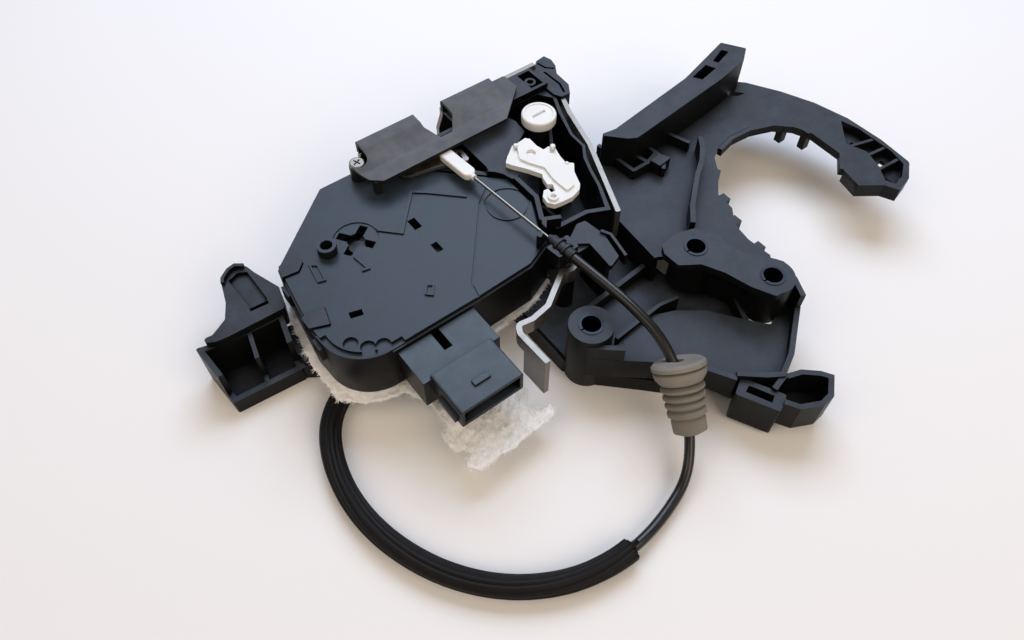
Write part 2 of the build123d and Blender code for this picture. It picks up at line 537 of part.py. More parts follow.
with BuildPart() as latch_frame:
    plate(FRAME_OUTLINE, CASE_BASE, FRAME_TOP)
    # Closed compartment for catch and pawl, open towards the face plate
    block((-26.5, 78.3), (COMPARTMENT_BACK, FACE_BACK), (COMPARTMENT_LOW, LOCK_TOP))
    plate(FRAME_CAVITY, CASE_FLOOR, LOCK_TOP - 1, mode=Mode.SUBTRACT)
    block((-24, CAVITY_RIGHT), (COMPARTMENT_BACK + 2.2, FACE_BACK + 1),
          (COMPARTMENT_LOW + 2, LOCK_TOP - ROOF_THK), mode=Mode.SUBTRACT)
    block(RECESS, (COMPARTMENT_BACK + 1.8, FACE_BACK - 1.8), (LOCK_TOP - 6, LOCK_TOP + 1), mode=Mode.SUBTRACT)
    block((STRIKER_X - MOUTH_FLARE, STRIKER_X + MOUTH_FLARE), (COMPARTMENT_BACK + 2.2, FACE_BACK + 1),
          (MOUTH_BOTTOM, LOCK_TOP + 1), mode=Mode.SUBTRACT)
    # Ear at the outer corner
    plate(EAR_OUTLINE, FRAME_TOP - 6, FRAME_TOP + 1.5, corner=0.2)
    wall(LEG_LINE, FRAME_TOP - 7, FRAME_TOP + SEAT, thickness=STEEL_THK + 2 * SEAT, mode=Mode.SUBTRACT)
    # Bosses of the override cap and of the lock lever
    post(CAM_AXIS, STEM_R + 2.5, CASE_FLOOR - 1, FRAME_TOP - 1)
    post(LEVER_AXIS, STEM_R + 2.5, CASE_FLOOR - 1, FRAME_TOP - 1)
    post(RING_BOSS, 3.2, LOCK_TOP - 7, LOCK_TOP - 1.5)
    for groove in EAR_GROOVES:
        wall(groove, FRAME_TOP - 3, FRAME_TOP + 2, thickness=1.3, mode=Mode.SUBTRACT)
    # Flat guard beside the lock lever
    plate(SLAB_OUTLINE, FRAME_TOP - 2, FRAME_TOP)
    # Ribs on the tray's floor
    wall([(30, 47), (30, 70), (24, 76)], CASE_FLOOR - 1, FRAME_TOP - 12, thickness=1.8)
    wall([(66, 112), (52, 92), (52, 76)], CASE_FLOOR - 1, FRAME_TOP - 4, thickness=1.8)
    wall([(30, 112), (30, 130)], CASE_FLOOR - 1, FRAME_TOP - 4, thickness=1.8)
    # Bracket that straddles the wire
    wall([(5, 44.5), (10, 47), (14, 51.5), (21, 48)], COVER_TOP + SEAT, WIRE_LEVEL + 3, thickness=2.2)
    block((8.2, 11.2), (42, 52), (WIRE_LEVEL - 1.6, WIRE_LEVEL + 4), mode=Mode.SUBTRACT)
    # Clearance for the inside release lever over the joint with the case
    block((-26, 16), (98, COMPARTMENT_BACK), (COVER_TOP - 0.2, FRAME_TOP + 1), mode=Mode.SUBTRACT)
    for axis in (CAM_AXIS, LEVER_AXIS):
        post(axis, STEM_R + RUN_FIT, CASE_FLOOR - 0.5, FRAME_TOP, mode=Mode.SUBTRACT)
    for axis, radius in ((CATCH_AXIS, CATCH_PIN_R), (PAWL_AXIS, PAWL_PIN_R)):
        cross_post(axis, radius, COMPARTMENT_BACK + 1, COMPARTMENT_BACK + 4, mode=Mode.SUBTRACT)
    post(RING_BOSS, 1.8, LOCK_TOP - 5, LOCK_TOP, mode=Mode.SUBTRACT)
latch_frame.part.label = "latch_frame"
export_step(latch_frame.part, "parts/latch_frame.step")

SHIELD_THK = 1.8
SHIELD_LEFT = -40.4
SHIELD_RIGHT = 61.0
SHIELD_PLAN = [
    (-40.4, 145.2), (-40.4, 129.2), (-37.9, 121.3), (-32.5, 116.8), (41.5, 116.8), (61, 134), (61, 145.2),
]
SHIELD_NOTCH = [(2.4, 147), (2.4, 134), (6.5, 125.5), (13.5, 125.5), (19.6, 134), (19.6, 147)]
SHIELD_RISE = 6.0       # of the bent roof over the flat front's underside
SHIELD_HEIGHT = SHIELD_LOW + SHIELD_RISE
SHIELD_STEP_X = 50.0

with BuildPart() as latch_shield:
    with BuildSketch(Plane.YZ.offset(SHIELD_LEFT)) as profile:
        with BuildLine():
            Polyline((116, SHIELD_LOW), (127, SHIELD_LOW + 0.3), (138, SHIELD_HEIGHT - SHIELD_THK - 0.3),
                     (143, SHIELD_HEIGHT - SHIELD_THK), (143, LOCK_TOP), (145.2, LOCK_TOP),
                     (145.2, SHIELD_HEIGHT - 1), (144.2, SHIELD_HEIGHT), (137.5, SHIELD_HEIGHT - 0.3),
                     (126.6, SHIELD_LOW + SHIELD_THK + 0.3), (116, SHIELD_LOW + SHIELD_THK), close=True)
        make_face()
    extrude(amount=SHIELD_RIGHT - SHIELD_LEFT)
    # Flat right-hand end, a step below the scoop
    plate([(SHIELD_STEP_X, 116), (SHIELD_RIGHT, 116), (SHIELD_RIGHT, 146), (SHIELD_STEP_X, 146)],
          SHIELD_LOW + SHIELD_THK, SHIELD_HEIGHT + 1, mode=Mode.SUBTRACT)
    plate([(SHIELD_STEP_X - 2, 126), (SHIELD_RIGHT, 126), (SHIELD_RIGHT, 145.2), (SHIELD_STEP_X - 2, 145.2)],
          SHIELD_LOW, SHIELD_LOW + SHIELD_THK)
    # Cheeks beside the striker notch and at the step
    for x in (STRIKER_X - MOUTH_FLARE - 1.1, SHIELD_STEP_X - 2):
        with BuildSketch(Plane.YZ.offset(x)) as cheek:
            with BuildLine():
                Polyline((128, SHIELD_LOW + 0.2), (138, SHIELD_HEIGHT - 1.5), (144, SHIELD_HEIGHT - 1),
                         (144, LOCK_TOP), (131, LOCK_TOP), close=True)
            make_face()
        extrude(cheek.sketch, amount=2.0)
    plate(SHIELD_PLAN, LOCK_TOP - 1, SHIELD_HEIGHT + 1, corner=1.5, mode=Mode.INTERSECT)
    plate(SHIELD_NOTCH, LOCK_TOP - 1, SHIELD_HEIGHT + 1, mode=Mode.SUBTRACT)
    # Room round the corner screw and its boss
    post(SHIELD_SCREW, SHIELD_BOSS_R + 1.2, LOCK_TOP - 1, SHIELD_HEIGHT + 1, mode=Mode.SUBTRACT)
    block((SHIELD_LEFT - 1, SHIELD_SCREW[0] + SHIELD_BOSS_R + 1.2), (SHIELD_SCREW[1], 147),
          (LOCK_TOP - 1, SHIELD_HEIGHT + 1), mode=Mode.SUBTRACT)
    # Feet on the compartment and on the case
    for x in (-24, 26):
        block((x, x + 3), (130, 143.5), (LOCK_TOP, SHIELD_LOW + 1.5))
    block((52, 55), (130, 143.5), (LOCK_TOP, SHIELD_LOW + 1))
    block((-36, -33), (119, 123), (COVER_TOP, SHIELD_LOW + 0.5))
latch_shield.part.label = "latch_shield"
export_step(latch_shield.part, "parts/latch_shield.step")

with BuildPart() as shield_screw:
    post(SHIELD_SCREW, SCREW_R, CASE_TOP + 0.5, SHIELD_SCREW_HEAD + 0.5)
    post(SHIELD_SCREW, SCREW_R + 1.9, SHIELD_SCREW_HEAD, SHIELD_SCREW_HEAD + 2.2)
    fillet(shield_screw.edges().group_by(Axis.Z)[-1], 0.8)
    for angle in (20, 110):
        wall([along(SHIELD_SCREW, angle, -2.2), along(SHIELD_SCREW, angle, 2.2)], SHIELD_SCREW_HEAD + 1,
             SHIELD_SCREW_HEAD + 3, thickness=0.8, mode=Mode.SUBTRACT)
shield_screw.part.label = "shield_screw"
export_step(shield_screw.part, "parts/shield_screw.step")


def mouth(back, front, half, low):
    """Cut the fish mouth that takes the striker through a plate across Y."""
    with BuildSketch(Plane.XZ.offset(-back)) as cut:
        with Locations((STRIKER_X, low + half)):
            Circle(half)
        Polygon((STRIKER_X - half, low + half), (STRIKER_X - half, low + half + 7),
                (STRIKER_X - MOUTH_FLARE, LOCK_TOP - 4), (STRIKER_X - MOUTH_FLARE, LOCK_TOP + 1),
                (STRIKER_X + MOUTH_FLARE, LOCK_TOP + 1), (STRIKER_X + MOUTH_FLARE, LOCK_TOP - 4),
                (STRIKER_X + half, low + half + 7), (STRIKER_X + half, low + half), align=None)
    extrude(cut.sketch, amount=-(front - back), mode=Mode.SUBTRACT)


FACE_FRONT = FACE_BACK + STEEL_THK

with BuildPart() as face_plate:
    block((FACE_LEFT, FACE_RIGHT + 2.5), (FACE_BACK, FACE_FRONT), (FACE_BOTTOM, LOCK_TOP))
    wall(LEG_LINE, LEG_LOW, LEG_TOP, thickness=STEEL_THK)
    wall([(52.6, 47), LEG_LINE[-1]], 27, LEG_TOP, thickness=STEEL_THK)
    across = face_plate.edges().filter_by(Axis.Y)
    fillet(across.filter_by_position(Axis.X, FACE_LEFT - 0.1, FACE_LEFT + 0.1), 6)
    mouth(FACE_BACK, FACE_FRONT, MOUTH_HALF, MOUTH_BOTTOM)
    for centre in TAPPED_HOLES:
        cross_post(centre, TAPPED_R, FACE_BACK - 1, FACE_FRONT + 1, mode=Mode.SUBTRACT)
    cross_post(CATCH_AXIS, CATCH_PIN_R, FACE_BACK - 1, FACE_FRONT + 1, mode=Mode.SUBTRACT)
    cross_post(PAWL_AXIS, PAWL_PIN_R, FACE_BACK - 1, FACE_FRONT + 1, mode=Mode.SUBTRACT)
face_plate.part.label = "face_plate"
export_step(face_plate.part, "parts/face_plate.step")

with BuildPart() as backing_plate:
    block((-22, 50), (BACKING_BACK, BACKING_BACK + BACKING_THK), (8, LOCK_TOP - 3))
    fillet(backing_plate.edges().filter_by(Axis.Y), 4)
    mouth(BACKING_BACK - 1, BACKING_BACK + BACKING_THK + 1, MOUTH_HALF + 1.5, MOUTH_BOTTOM - 1.5)
    cross_post(CATCH_AXIS, CATCH_PIN_R, BACKING_BACK - 1, BACKING_BACK + 4, mode=Mode.SUBTRACT)
    cross_post(PAWL_AXIS, PAWL_PIN_R, BACKING_BACK - 1, BACKING_BACK + 4, mode=Mode.SUBTRACT)
backing_plate.part.label = "backing_plate"
export_step(backing_plate.part, "parts/backing_plate.step")

for name, axis, radius in (("catch_pin", CATCH_AXIS, CATCH_PIN_R), ("pawl_pin", PAWL_AXIS, PAWL_PIN_R)):
    with BuildPart() as rivet:
        cross_post(axis, radius, COMPARTMENT_BACK + 1, FACE_FRONT + 0.6)
        chamfer(rivet.edges().group_by(Axis.Y)[-1], 0.5)
    rivet.part.label = name
    export_step(rivet.part, f"parts/{name}.step")

# ---------------------------------------------------------------------------------------------
# Catch and pawl: flat steel plates that turn about Y
# ---------------------------------------------------------------------------------------------

HUB_R = 12.5
THROAT_HALF = 6.2
JACKET_THK = 0.8        # plastic jacket moulded round the catch's edge
THROAT_SEAT = 17.0
THROAT_ANGLE = 62.0     # direction of the throat when the catch is open
JAW_SPREAD = 38.0
TOOTH_R = 15.5
TOOTH_FIRST = -62.0
TOOTH_SWEEP = 40.0


def catch_blank():
    """The outline of the catch, jacket included, in the plane of the plate."""
    with BuildSketch(Plane.XZ.offset(-CATCH_BACK)) as blank:
        with Locations(CATCH_AXIS):
            Circle(HUB_R)
        for reach, first, sweep_angle in (
            (CATCH_REACH, THROAT_ANGLE - JAW_SPREAD, 2 * JAW_SPREAD),
            (TOOTH_R, TOOTH_FIRST, TOOTH_SWEEP),
        ):
            with BuildLine():
                arc = CenterArc(CATCH_AXIS, reach, first, sweep_angle)
                Line(CATCH_AXIS, arc @ 0)
                Line(CATCH_AXIS, arc @ 1)
            make_face()
        seat = along(CATCH_AXIS, THROAT_ANGLE, THROAT_SEAT)
        out = along(CATCH_AXIS, THROAT_ANGLE, THROAT_SEAT + 20)
        with BuildLine():
            Line(seat, out)
        trace(line_width=2 * THROAT_HALF, mode=Mode.SUBTRACT)
        with Locations(seat):
            Circle(THROAT_HALF, mode=Mode.SUBTRACT)
    return blank.sketch


STEEL_BLANK = offset(catch_blank(), amount=-JACKET_THK)

with BuildPart() as catch:
    extrude(STEEL_BLANK, amount=-CATCH_THK)
    cross_post(CATCH_AXIS, CATCH_PIN_R + RUN_FIT, CATCH_BACK - 1, CATCH_BACK + CATCH_THK + 1,
               mode=Mode.SUBTRACT)
catch.part.label = "catch"
export_step(catch.part, "parts/catch.step")

with BuildPart() as catch_jacket:
    extrude(catch_blank(), amount=-CATCH_THK)
    extrude(STEEL_BLANK, amount=-CATCH_THK, mode=Mode.SUBTRACT)
catch_jacket.part.label = "catch_jacket"
export_step(catch_jacket.part, "parts/catch_jacket.step")

PAWL_HUB_R = 7.5

with BuildPart() as pawl:
    px, pz = PAWL_AXIS
    with BuildSketch(Plane.XZ.offset(-CATCH_BACK)) as blank:
        with Locations(PAWL_AXIS):
            Circle(PAWL_HUB_R)
        Polygon((px + 2, pz + 7), (px - 8, pz + 2), (px - 17, pz - 4.5), (5.9, 13.4), (4.9, 9.4),
                (px - 15, pz - 10.5), (px, pz - 7.5), align=None)
        Polygon((px, pz + 7.2), (px + 14, pz + 5), (px + 16, pz + 0.5), (px + 12, pz - 1.5), (px, pz - 7),
                align=None)
    extrude(blank.sketch, amount=-CATCH_THK)
    cross_post(PAWL_AXIS, PAWL_PIN_R + RUN_FIT, CATCH_BACK - 1, CATCH_BACK + CATCH_THK + 1,
               mode=Mode.SUBTRACT)
pawl.part.label = "pawl"
export_step(pawl.part, "parts/pawl.step")

SPRING_WIRE_R = 0.6
SPRING_BACK = BACKING_BACK + BACKING_THK
for name, axis, coil_r in (("catch_spring", CATCH_AXIS, 6.5), ("pawl_spring", PAWL_AXIS, 5.0)):
    with BuildPart() as torsion_spring:
        with BuildLine() as coil:
            Helix(pitch=1.35, height=1.9, radius=coil_r, direction=(0, 1, 0),
                  center=(axis[0], SPRING_BACK + SPRING_WIRE_R + 0.05, axis[1]))
        with BuildSketch(Plane(origin=coil.line @ 0, z_dir=coil.line % 0)):
            Circle(SPRING_WIRE_R)
        sweep(path=coil.line, is_frenet=True)
    torsion_spring.part.label = name
    export_step(torsion_spring.part, f"parts/{name}.step")

# ---------------------------------------------------------------------------------------------
# Override cap, lock lever, release levers
# ---------------------------------------------------------------------------------------------

with BuildPart() as override_cap:
    post(CAM_AXIS, CAM_R, CAM_TOP - 5, CAM_TOP)
    chamfer(override_cap.edges().group_by(Axis.Z)[-1], 0.6)
    post(CAM_AXIS, CAM_R - 1.8, CAM_TOP - 0.5, CAM_TOP + 1, mode=Mode.SUBTRACT)
    post(CAM_AXIS, STEM_R, CASE_FLOOR, CAM_TOP - 4)
    block((CAM_AXIS[0] - 4, CAM_AXIS[0] + 4), (CAM_AXIS[1] - 0.8, CAM_AXIS[1] + 0.8), (CAM_TOP - 2, CAM_TOP),
          mode=Mode.SUBTRACT)
override_cap.part.label = "override_cap"
export_step(override_cap.part, "parts/override_cap.step")

LEVER_LOW = FRAME_TOP + 0.6
LEVER_TOP = 49.8
LEVER_OUTLINE = [
    (23.4, 93.9), (26.7, 97), (28.6, 98.2), (33.2, 101.7), (37, 101.7), (42, 102.4), (43.6, 100.4),
    (43.3, 94.1), (44.3, 90), (47.7, 90.4), (49.7, 87.4), (47.9, 81.5), (47.2, 76.3), (50.2, 73.4),
    (46.4, 68.4), (43.3, 60.4), (40.7, 57.8), (35.1, 56.1), (29.2, 56.5), (24.9, 57.4), (22.8, 60.5),
    (23.7, 64.8), (26.5, 67.6), (29, 67.4), (28.6, 64.5), (30.8, 64.2), (32.6, 68.2), (30.5, 70),
    (31.5, 74.4), (32.9, 76.9), (29.2, 84.1), (24.9, 90.8),
]
LEVER_RAISED = [
    (30, 91), (34, 98.5), (40, 99), (41, 91), (43, 86), (45.5, 84), (44.5, 77), (47, 72), (43, 66),
    (40, 61), (35, 60), (34.5, 66), (34.5, 71), (36, 79), (32, 86),
]

with BuildPart() as lock_lever:
    plate(LEVER_OUTLINE, LEVER_LOW, LEVER_TOP - 1.2, corner=0.4)
    plate(LEVER_RAISED, LEVER_LOW, LEVER_TOP, corner=0.8)
    post(LEVER_AXIS, STEM_R, CASE_FLOOR, LEVER_LOW + 1)
    post((27.2, 61.2), 2.6, LEVER_LOW, LEVER_TOP)
    post((27.2, 61.2), 1.5, LEVER_TOP - 1.5, LEVER_TOP + 1, mode=Mode.SUBTRACT)
    post((37, 91), 2.4, LEVER_TOP - 1.5, LEVER_TOP + 1, mode=Mode.SUBTRACT)
lock_lever.part.label = "lock_lever"
export_step(lock_lever.part, "parts/lock_lever.step")

STRIP_THK = 2.6
STRIP_TOP = 40.0
STRIP_LINE = [(8, 29), (4.5, 27.5), (-10.6, 17.6), (-20.5, 16), (-27.5, 17.2), (-29.7, 13.3), (-29.4, -5.7)]

with BuildPart() as outside_release_lever:
    with BuildSketch(Plane.XY.offset(STRIP_TOP - 8)) as strip:
        with BuildLine():
            FilletPolyline(*STRIP_LINE, radius=2.4)
        trace(line_width=STRIP_THK)
    extrude(strip.sketch, amount=8)
    wall([(-29.55, 9), (-29.4, -5.7)], STRIP_TOP - 25, STRIP_TOP - 1, thickness=STRIP_THK)
    post(RELEASE_AXIS, PIVOT_R + 2.5, STRIP_TOP - 8, STRIP_TOP)
    post(RELEASE_AXIS, PIVOT_R + RUN_FIT, STRIP_TOP - 9, STRIP_TOP + 1, mode=Mode.SUBTRACT)
outside_release_lever.part.label = "outside_release_lever"
export_step(outside_release_lever.part, "parts/outside_release_lever.step")

INSIDE_LOW = COVER_TOP + 1.2 + SEAT
INSIDE_THK = 2.0
PEG_PULLED = along(PEG, WIRE_HEADING, STROKE)
PEG_REST_REACH = (Vector(*PEG) - Vector(*INSIDE_AXIS)).length
PEG_PULLED_REACH = (Vector(*PEG_PULLED) - Vector(*INSIDE_AXIS)).length
SLOT_END = (PEG_PULLED_REACH + PEG_R + SLOT_CLEAR) / PEG_REST_REACH

with BuildPart() as inside_release_lever:
    ix, iy = INSIDE_AXIS
    post(INSIDE_AXIS, PIVOT_R + 2.6, INSIDE_LOW, INSIDE_LOW + INSIDE_THK)
    plate([(ix, iy + 4.5), (ix + 12, iy + 2.5), (ix + 29.5, iy - 4.2), (ix + 28.5, iy - 13.5),
           (ix + 12, iy - 7.5), (ix, iy - 4.8)], INSIDE_LOW, INSIDE_LOW + INSIDE_THK, corner=1.5)
    post(INSIDE_AXIS, PIVOT_R + RUN_FIT, INSIDE_LOW - 1, INSIDE_LOW + INSIDE_THK + 1, mode=Mode.SUBTRACT)
    with BuildSketch(Plane.XY.offset(INSIDE_LOW - 1)) as slot:
        with BuildLine():
            Line((ix + (PEG[0] - ix) * 0.86, iy + (PEG[1] - iy) * 0.86),
                 (ix + (PEG[0] - ix) * SLOT_END, iy + (PEG[1] - iy) * SLOT_END))
        trace(line_width=2 * PEG_R + 1.8)
    extrude(slot.sketch, amount=INSIDE_THK + 2, mode=Mode.SUBTRACT)
inside_release_lever.part.label = "inside_release_lever"
export_step(inside_release_lever.part, "parts/inside_release_lever.step")

# ---------------------------------------------------------------------------------------------
# Drive train inside the case: motor, worm, gear on its pin, and two microswitches
# ---------------------------------------------------------------------------------------------

TOOTH_THK = 1.1
THREAD_THK = 0.9
GEAR_ROOT_R = GEAR_PITCH_R - TOOTH_HALF_DEPTH - 0.2
GEAR_TIP_R = GEAR_PITCH_R + TOOTH_HALF_DEPTH - 0.1
HUB_TOP = CASE_TOP - 3.0

with BuildPart() as drive_gear:
    with BuildSketch(Plane.XY.offset(GEAR_LOW)) as blank:
        with Locations(GEAR_AXIS):
            Circle(GEAR_ROOT_R)
            with PolarLocations(GEAR_PITCH_R, GEAR_TEETH):
                Polygon((GEAR_ROOT_R - GEAR_PITCH_R - 0.3, -TOOTH_THK / 2 - 0.2),
                        (GEAR_TIP_R - GEAR_PITCH_R, -TOOTH_THK / 2 + 0.25),
                        (GEAR_TIP_R - GEAR_PITCH_R, TOOTH_THK / 2 - 0.25),
                        (GEAR_ROOT_R - GEAR_PITCH_R - 0.3, TOOTH_THK / 2 + 0.2), align=None)
    extrude(blank.sketch, amount=GEAR_THK)
    with BuildSketch(Plane.XY.offset(GEAR_LOW + GEAR_THK - 2)) as web:
        with Locations(GEAR_AXIS):
            Circle(GEAR_ROOT_R - 2.2)
            Circle(6, mode=Mode.SUBTRACT)
    extrude(web.sketch, amount=2, mode=Mode.SUBTRACT)
    post(GEAR_AXIS, 3.9, GEAR_LOW, HUB_TOP)
    # Arms that push the lock lever's link, just under the cover
    for angle in (35, 125):
        wall([along(GEAR_AXIS, angle, -8.6), along(GEAR_AXIS, angle, 8.6)], GEAR_LOW + GEAR_THK - 0.5,
             HUB_TOP - 1.5, thickness=3.2)
    post(GEAR_AXIS, GEAR_PIN_R + RUN_FIT, GEAR_LOW - 1, HUB_TOP - 1, mode=Mode.SUBTRACT)
drive_gear.part.label = "drive_gear"
export_step(drive_gear.part, "parts/drive_gear.step")

with BuildPart() as gear_pin:
    post(GEAR_AXIS, GEAR_PIN_R, CASE_FLOOR - 1, HUB_TOP - 1.5)
gear_pin.part.label = "gear_pin"
export_step(gear_pin.part, "parts/gear_pin.step")


def shaft_post(radius, left, right, mode=Mode.ADD):
    """A round rod, or bore, on the motor's axis between two values of x."""
    with BuildSketch(Plane.YZ.offset(left)) as section:
        with Locations((WORM_Y, DRIVE_LEVEL)):
            Circle(radius)
    extrude(section.sketch, amount=right - left, mode=mode)


with BuildPart() as motor:
    shaft_post(MOTOR_R, MOTOR_LEFT, MOTOR_LEFT + MOTOR_LENGTH)
    block((MOTOR_LEFT - 1, MOTOR_LEFT + MOTOR_LENGTH + 1), (WORM_Y - MOTOR_R, WORM_Y + MOTOR_R),
          (DRIVE_LEVEL - MOTOR_FLATS / 2, DRIVE_LEVEL + MOTOR_FLATS / 2), mode=Mode.INTERSECT)
    chamfer(motor.edges().filter_by(GeomType.CIRCLE), 0.6)
    shaft_post(4, MOTOR_LEFT - 1.5, MOTOR_LEFT + 1)
    shaft_post(4, MOTOR_LEFT + MOTOR_LENGTH - 1, MOTOR_LEFT + MOTOR_LENGTH + 1.5)
    for y in (WORM_Y - 7, WORM_Y + 7):
        block((MOTOR_LEFT + MOTOR_LENGTH - 0.5, MOTOR_LEFT + MOTOR_LENGTH + 3.5), (y - 1.2, y + 1.2),
              (DRIVE_LEVEL - 0.4, DRIVE_LEVEL + 0.4))
    shaft_post(WORM_SHAFT_R + RUN_FIT, MOTOR_LEFT - 2, MOTOR_LEFT + 2.5, mode=Mode.SUBTRACT)
motor.part.label = "motor"
export_step(motor.part, "parts/motor.step")

WORM_LEFT = -72.2
WORM_RIGHT = -43.0
WORM_TIP_R = WORM_PITCH_R + TOOTH_HALF_DEPTH
THREAD_TURNS = 8
THREAD_PHASE = 4.25      # turns from the thread's start to the gear's axis

with BuildPart() as motor_worm:
    shaft_post(WORM_CORE_R, WORM_LEFT, WORM_RIGHT)
    shaft_post(WORM_SHAFT_R, -78.7, MOTOR_LEFT + 2)
    # The thread's gap faces the gear's lowest tooth
    with BuildLine() as thread_line:
        Helix(pitch=CIRCULAR_PITCH, height=CIRCULAR_PITCH * THREAD_TURNS, radius=WORM_CORE_R - 0.1,
              center=(GEAR_AXIS[0] - CIRCULAR_PITCH * THREAD_PHASE, WORM_Y, DRIVE_LEVEL), direction=(1, 0, 0))
    start = thread_line.line @ 0
    outwards = (start - Vector(start.X, WORM_Y, DRIVE_LEVEL)).normalized()
    with BuildSketch(Plane(origin=start, x_dir=outwards, z_dir=Vector(1, 0, 0).cross(outwards))) as tooth:
        depth = WORM_TIP_R - WORM_CORE_R + 0.1
        Polygon((0, -THREAD_THK / 2 - 0.25), (depth, -THREAD_THK / 2 + 0.2), (depth, THREAD_THK / 2 - 0.2),
                (0, THREAD_THK / 2 + 0.25), align=None)
    sweep(tooth.sketch, path=thread_line.line, is_frenet=True)
motor_worm.part.label = "motor_worm"
export_step(motor_worm.part, "parts/motor_worm.step")

for number, x in enumerate((-65, -51), start=1):
    with BuildPart() as microswitch:
        block((x, x + 12), (121.5, 128.5), (CASE_FLOOR + 3, CASE_TOP - 6))
        block((x + 1, x + 11), (123.5, 126.5), (CASE_TOP - 6.5, CASE_TOP - 4))
        block((x + 4.5, x + 7.5), (119.6, 122), (CASE_TOP - 12, CASE_TOP - 9))
    microswitch.part.label = f"microswitch_{number}"
    export_step(microswitch.part, f"parts/microswitch_{number}.step")

# ---------------------------------------------------------------------------------------------
# Connector: socket with its terminals, on the rear case
# ---------------------------------------------------------------------------------------------

SOCKET_LEFT = -73.0
SOCKET_RIGHT = -41.0
SOCKET_MOUTH = -3.8
SOCKET_BACK = 19.0
SOCKET_LOW = 28.0
SOCKET_WALL = 1.8
SOCKET_BOTTOM = 15.0    # y of the socket's inner end
TERMINAL_COUNT = 8
TERMINAL_PITCH = 3.0
TERMINAL_HALF = 0.45
TERMINAL_LEVEL = (SOCKET_LOW + CASE_TOP) / 2
TERMINAL_TIP = 6.0
TERMINAL_ROOT = 21.0


def terminals(growth, mode):
    """The row of square terminals, or the holes that hold them."""
    middle = (SOCKET_LEFT + SOCKET_RIGHT) / 2
    with BuildSketch(Plane.XZ.offset(-TERMINAL_TIP)) as row:
        with Locations((middle, TERMINAL_LEVEL)):
            with GridLocations(TERMINAL_PITCH, TERMINAL_PITCH, TERMINAL_COUNT, 1):
                Rectangle(2 * TERMINAL_HALF + growth, 2 * TERMINAL_HALF + growth)
    extrude(row.sketch, amount=-(TERMINAL_ROOT - TERMINAL_TIP), mode=mode)


with BuildPart() as connector_housing:
    block((SOCKET_LEFT, SOCKET_RIGHT), (SOCKET_MOUTH, SOCKET_BACK), (SOCKET_LOW, CASE_TOP))
    fillet(connector_housing.edges().filter_by(Axis.Y), 1.2)
    block((SOCKET_LEFT + SOCKET_WALL, SOCKET_RIGHT - SOCKET_WALL), (SOCKET_MOUTH - 1, SOCKET_BOTTOM),
          (SOCKET_LOW + SOCKET_WALL, CASE_TOP - SOCKET_WALL), mode=Mode.SUBTRACT)
    # Neck in two lobes down to the case
    block((-77, -37), (SOCKET_BACK - 1, 27), (PAN_TOP, CASE_TOP - 2))
    block((-77, -60), (26, 38), (PAN_TOP, CASE_TOP - 2))
    block((-56, -37), (26, 38), (PAN_TOP, CASE_TOP - 2))
    # Latch ramp on the socket, keying rail on its left side
    block((-61, -53), (3, 6), (CASE_TOP - 0.1, CASE_TOP + 1.2))
    block((SOCKET_LEFT - 1.6, SOCKET_LEFT + 0.2), (-1, 12), (SOCKET_LOW + 2, SOCKET_LOW + 5))
    terminals(0, Mode.SUBTRACT)
connector_housing.part.label = "connector_housing"
export_step(connector_housing.part, "parts/connector_housing.step")

with BuildPart() as terminal_pins:
    terminals(0, Mode.ADD)
terminal_pins.part.label = "terminal_pins"
export_step(terminal_pins.part, "parts/terminal_pins.step")

# ---------------------------------------------------------------------------------------------
# Release cable: bead, inner wire, ferrule, clip, sheath, sleeve, grommet and end nipple
# ---------------------------------------------------------------------------------------------


def wire_point(distance):
    """The point on the wire's straight stretch at a distance from the ferrule's mouth."""
    x, y = along(FERRULE_START, WIRE_HEADING, distance)
    return Vector(x, y, WIRE_LEVEL)


WIRE_DIRECTION = (wire_point(1) - wire_point(0)).normalized()


def wire_rod(radius, first, last, mode=Mode.ADD):
    """A rod, or a bore, on the wire's axis between two distances."""
    with BuildSketch(Plane(origin=wire_point(first), z_dir=WIRE_DIRECTION)) as section:
        Circle(radius)
    extrude(section.sketch, amount=last - first, mode=mode)


with BuildPart() as cable_bead:
    BEAD_LOW = INSIDE_LOW + INSIDE_THK + 0.5
    with BuildSketch(Plane.XY.offset(BEAD_LOW)) as bead_plan:
        with BuildLine():
            Line(along(FERRULE_START, WIRE_HEADING, BEAD_FRONT - BEAD_R),
                 along(FERRULE_START, WIRE_HEADING, BEAD_FRONT - BEAD_LENGTH))
        trace(line_width=2 * BEAD_R)
        with Locations(along(FERRULE_START, WIRE_HEADING, BEAD_FRONT - BEAD_R), PEG):
            Circle(BEAD_R)
    extrude(bead_plan.sketch, amount=BEAD_TOP - BEAD_LOW)
    fillet(cable_bead.edges().group_by(Axis.Z)[-1], 0.9)
    post(PEG, PEG_R, COVER_TOP + 1, BEAD_LOW + 1)
    wire_rod(1.5, BEAD_FRONT - 3, BEAD_FRONT + 1.5)
    wire_rod(WIRE_R, BEAD_FRONT - 6, BEAD_FRONT + 2, mode=Mode.SUBTRACT)
cable_bead.part.label = "cable_bead"
export_step(cable_bead.part, "parts/cable_bead.step")

with BuildPart() as inner_wire:
    wire_rod(WIRE_R, BEAD_FRONT - 6, FERRULE_LENGTH + 2)
inner_wire.part.label = "inner_wire"
export_step(inner_wire.part, "parts/inner_wire.step")

with BuildPart() as cable_ferrule:
    wire_rod(FERRULE_R, 0, FERRULE_LENGTH)
    wire_rod(FERRULE_R - 1, -2, 0)
    wire_rod(FERRULE_R + 1, 4, 5.5)
    wire_rod(FERRULE_R + 1, 8.5, 10)
    wire_rod(WIRE_BORE_R, -3, FERRULE_LENGTH + 1, mode=Mode.SUBTRACT)
cable_ferrule.part.label = "cable_ferrule"
export_step(cable_ferrule.part, "parts/cable_ferrule.step")

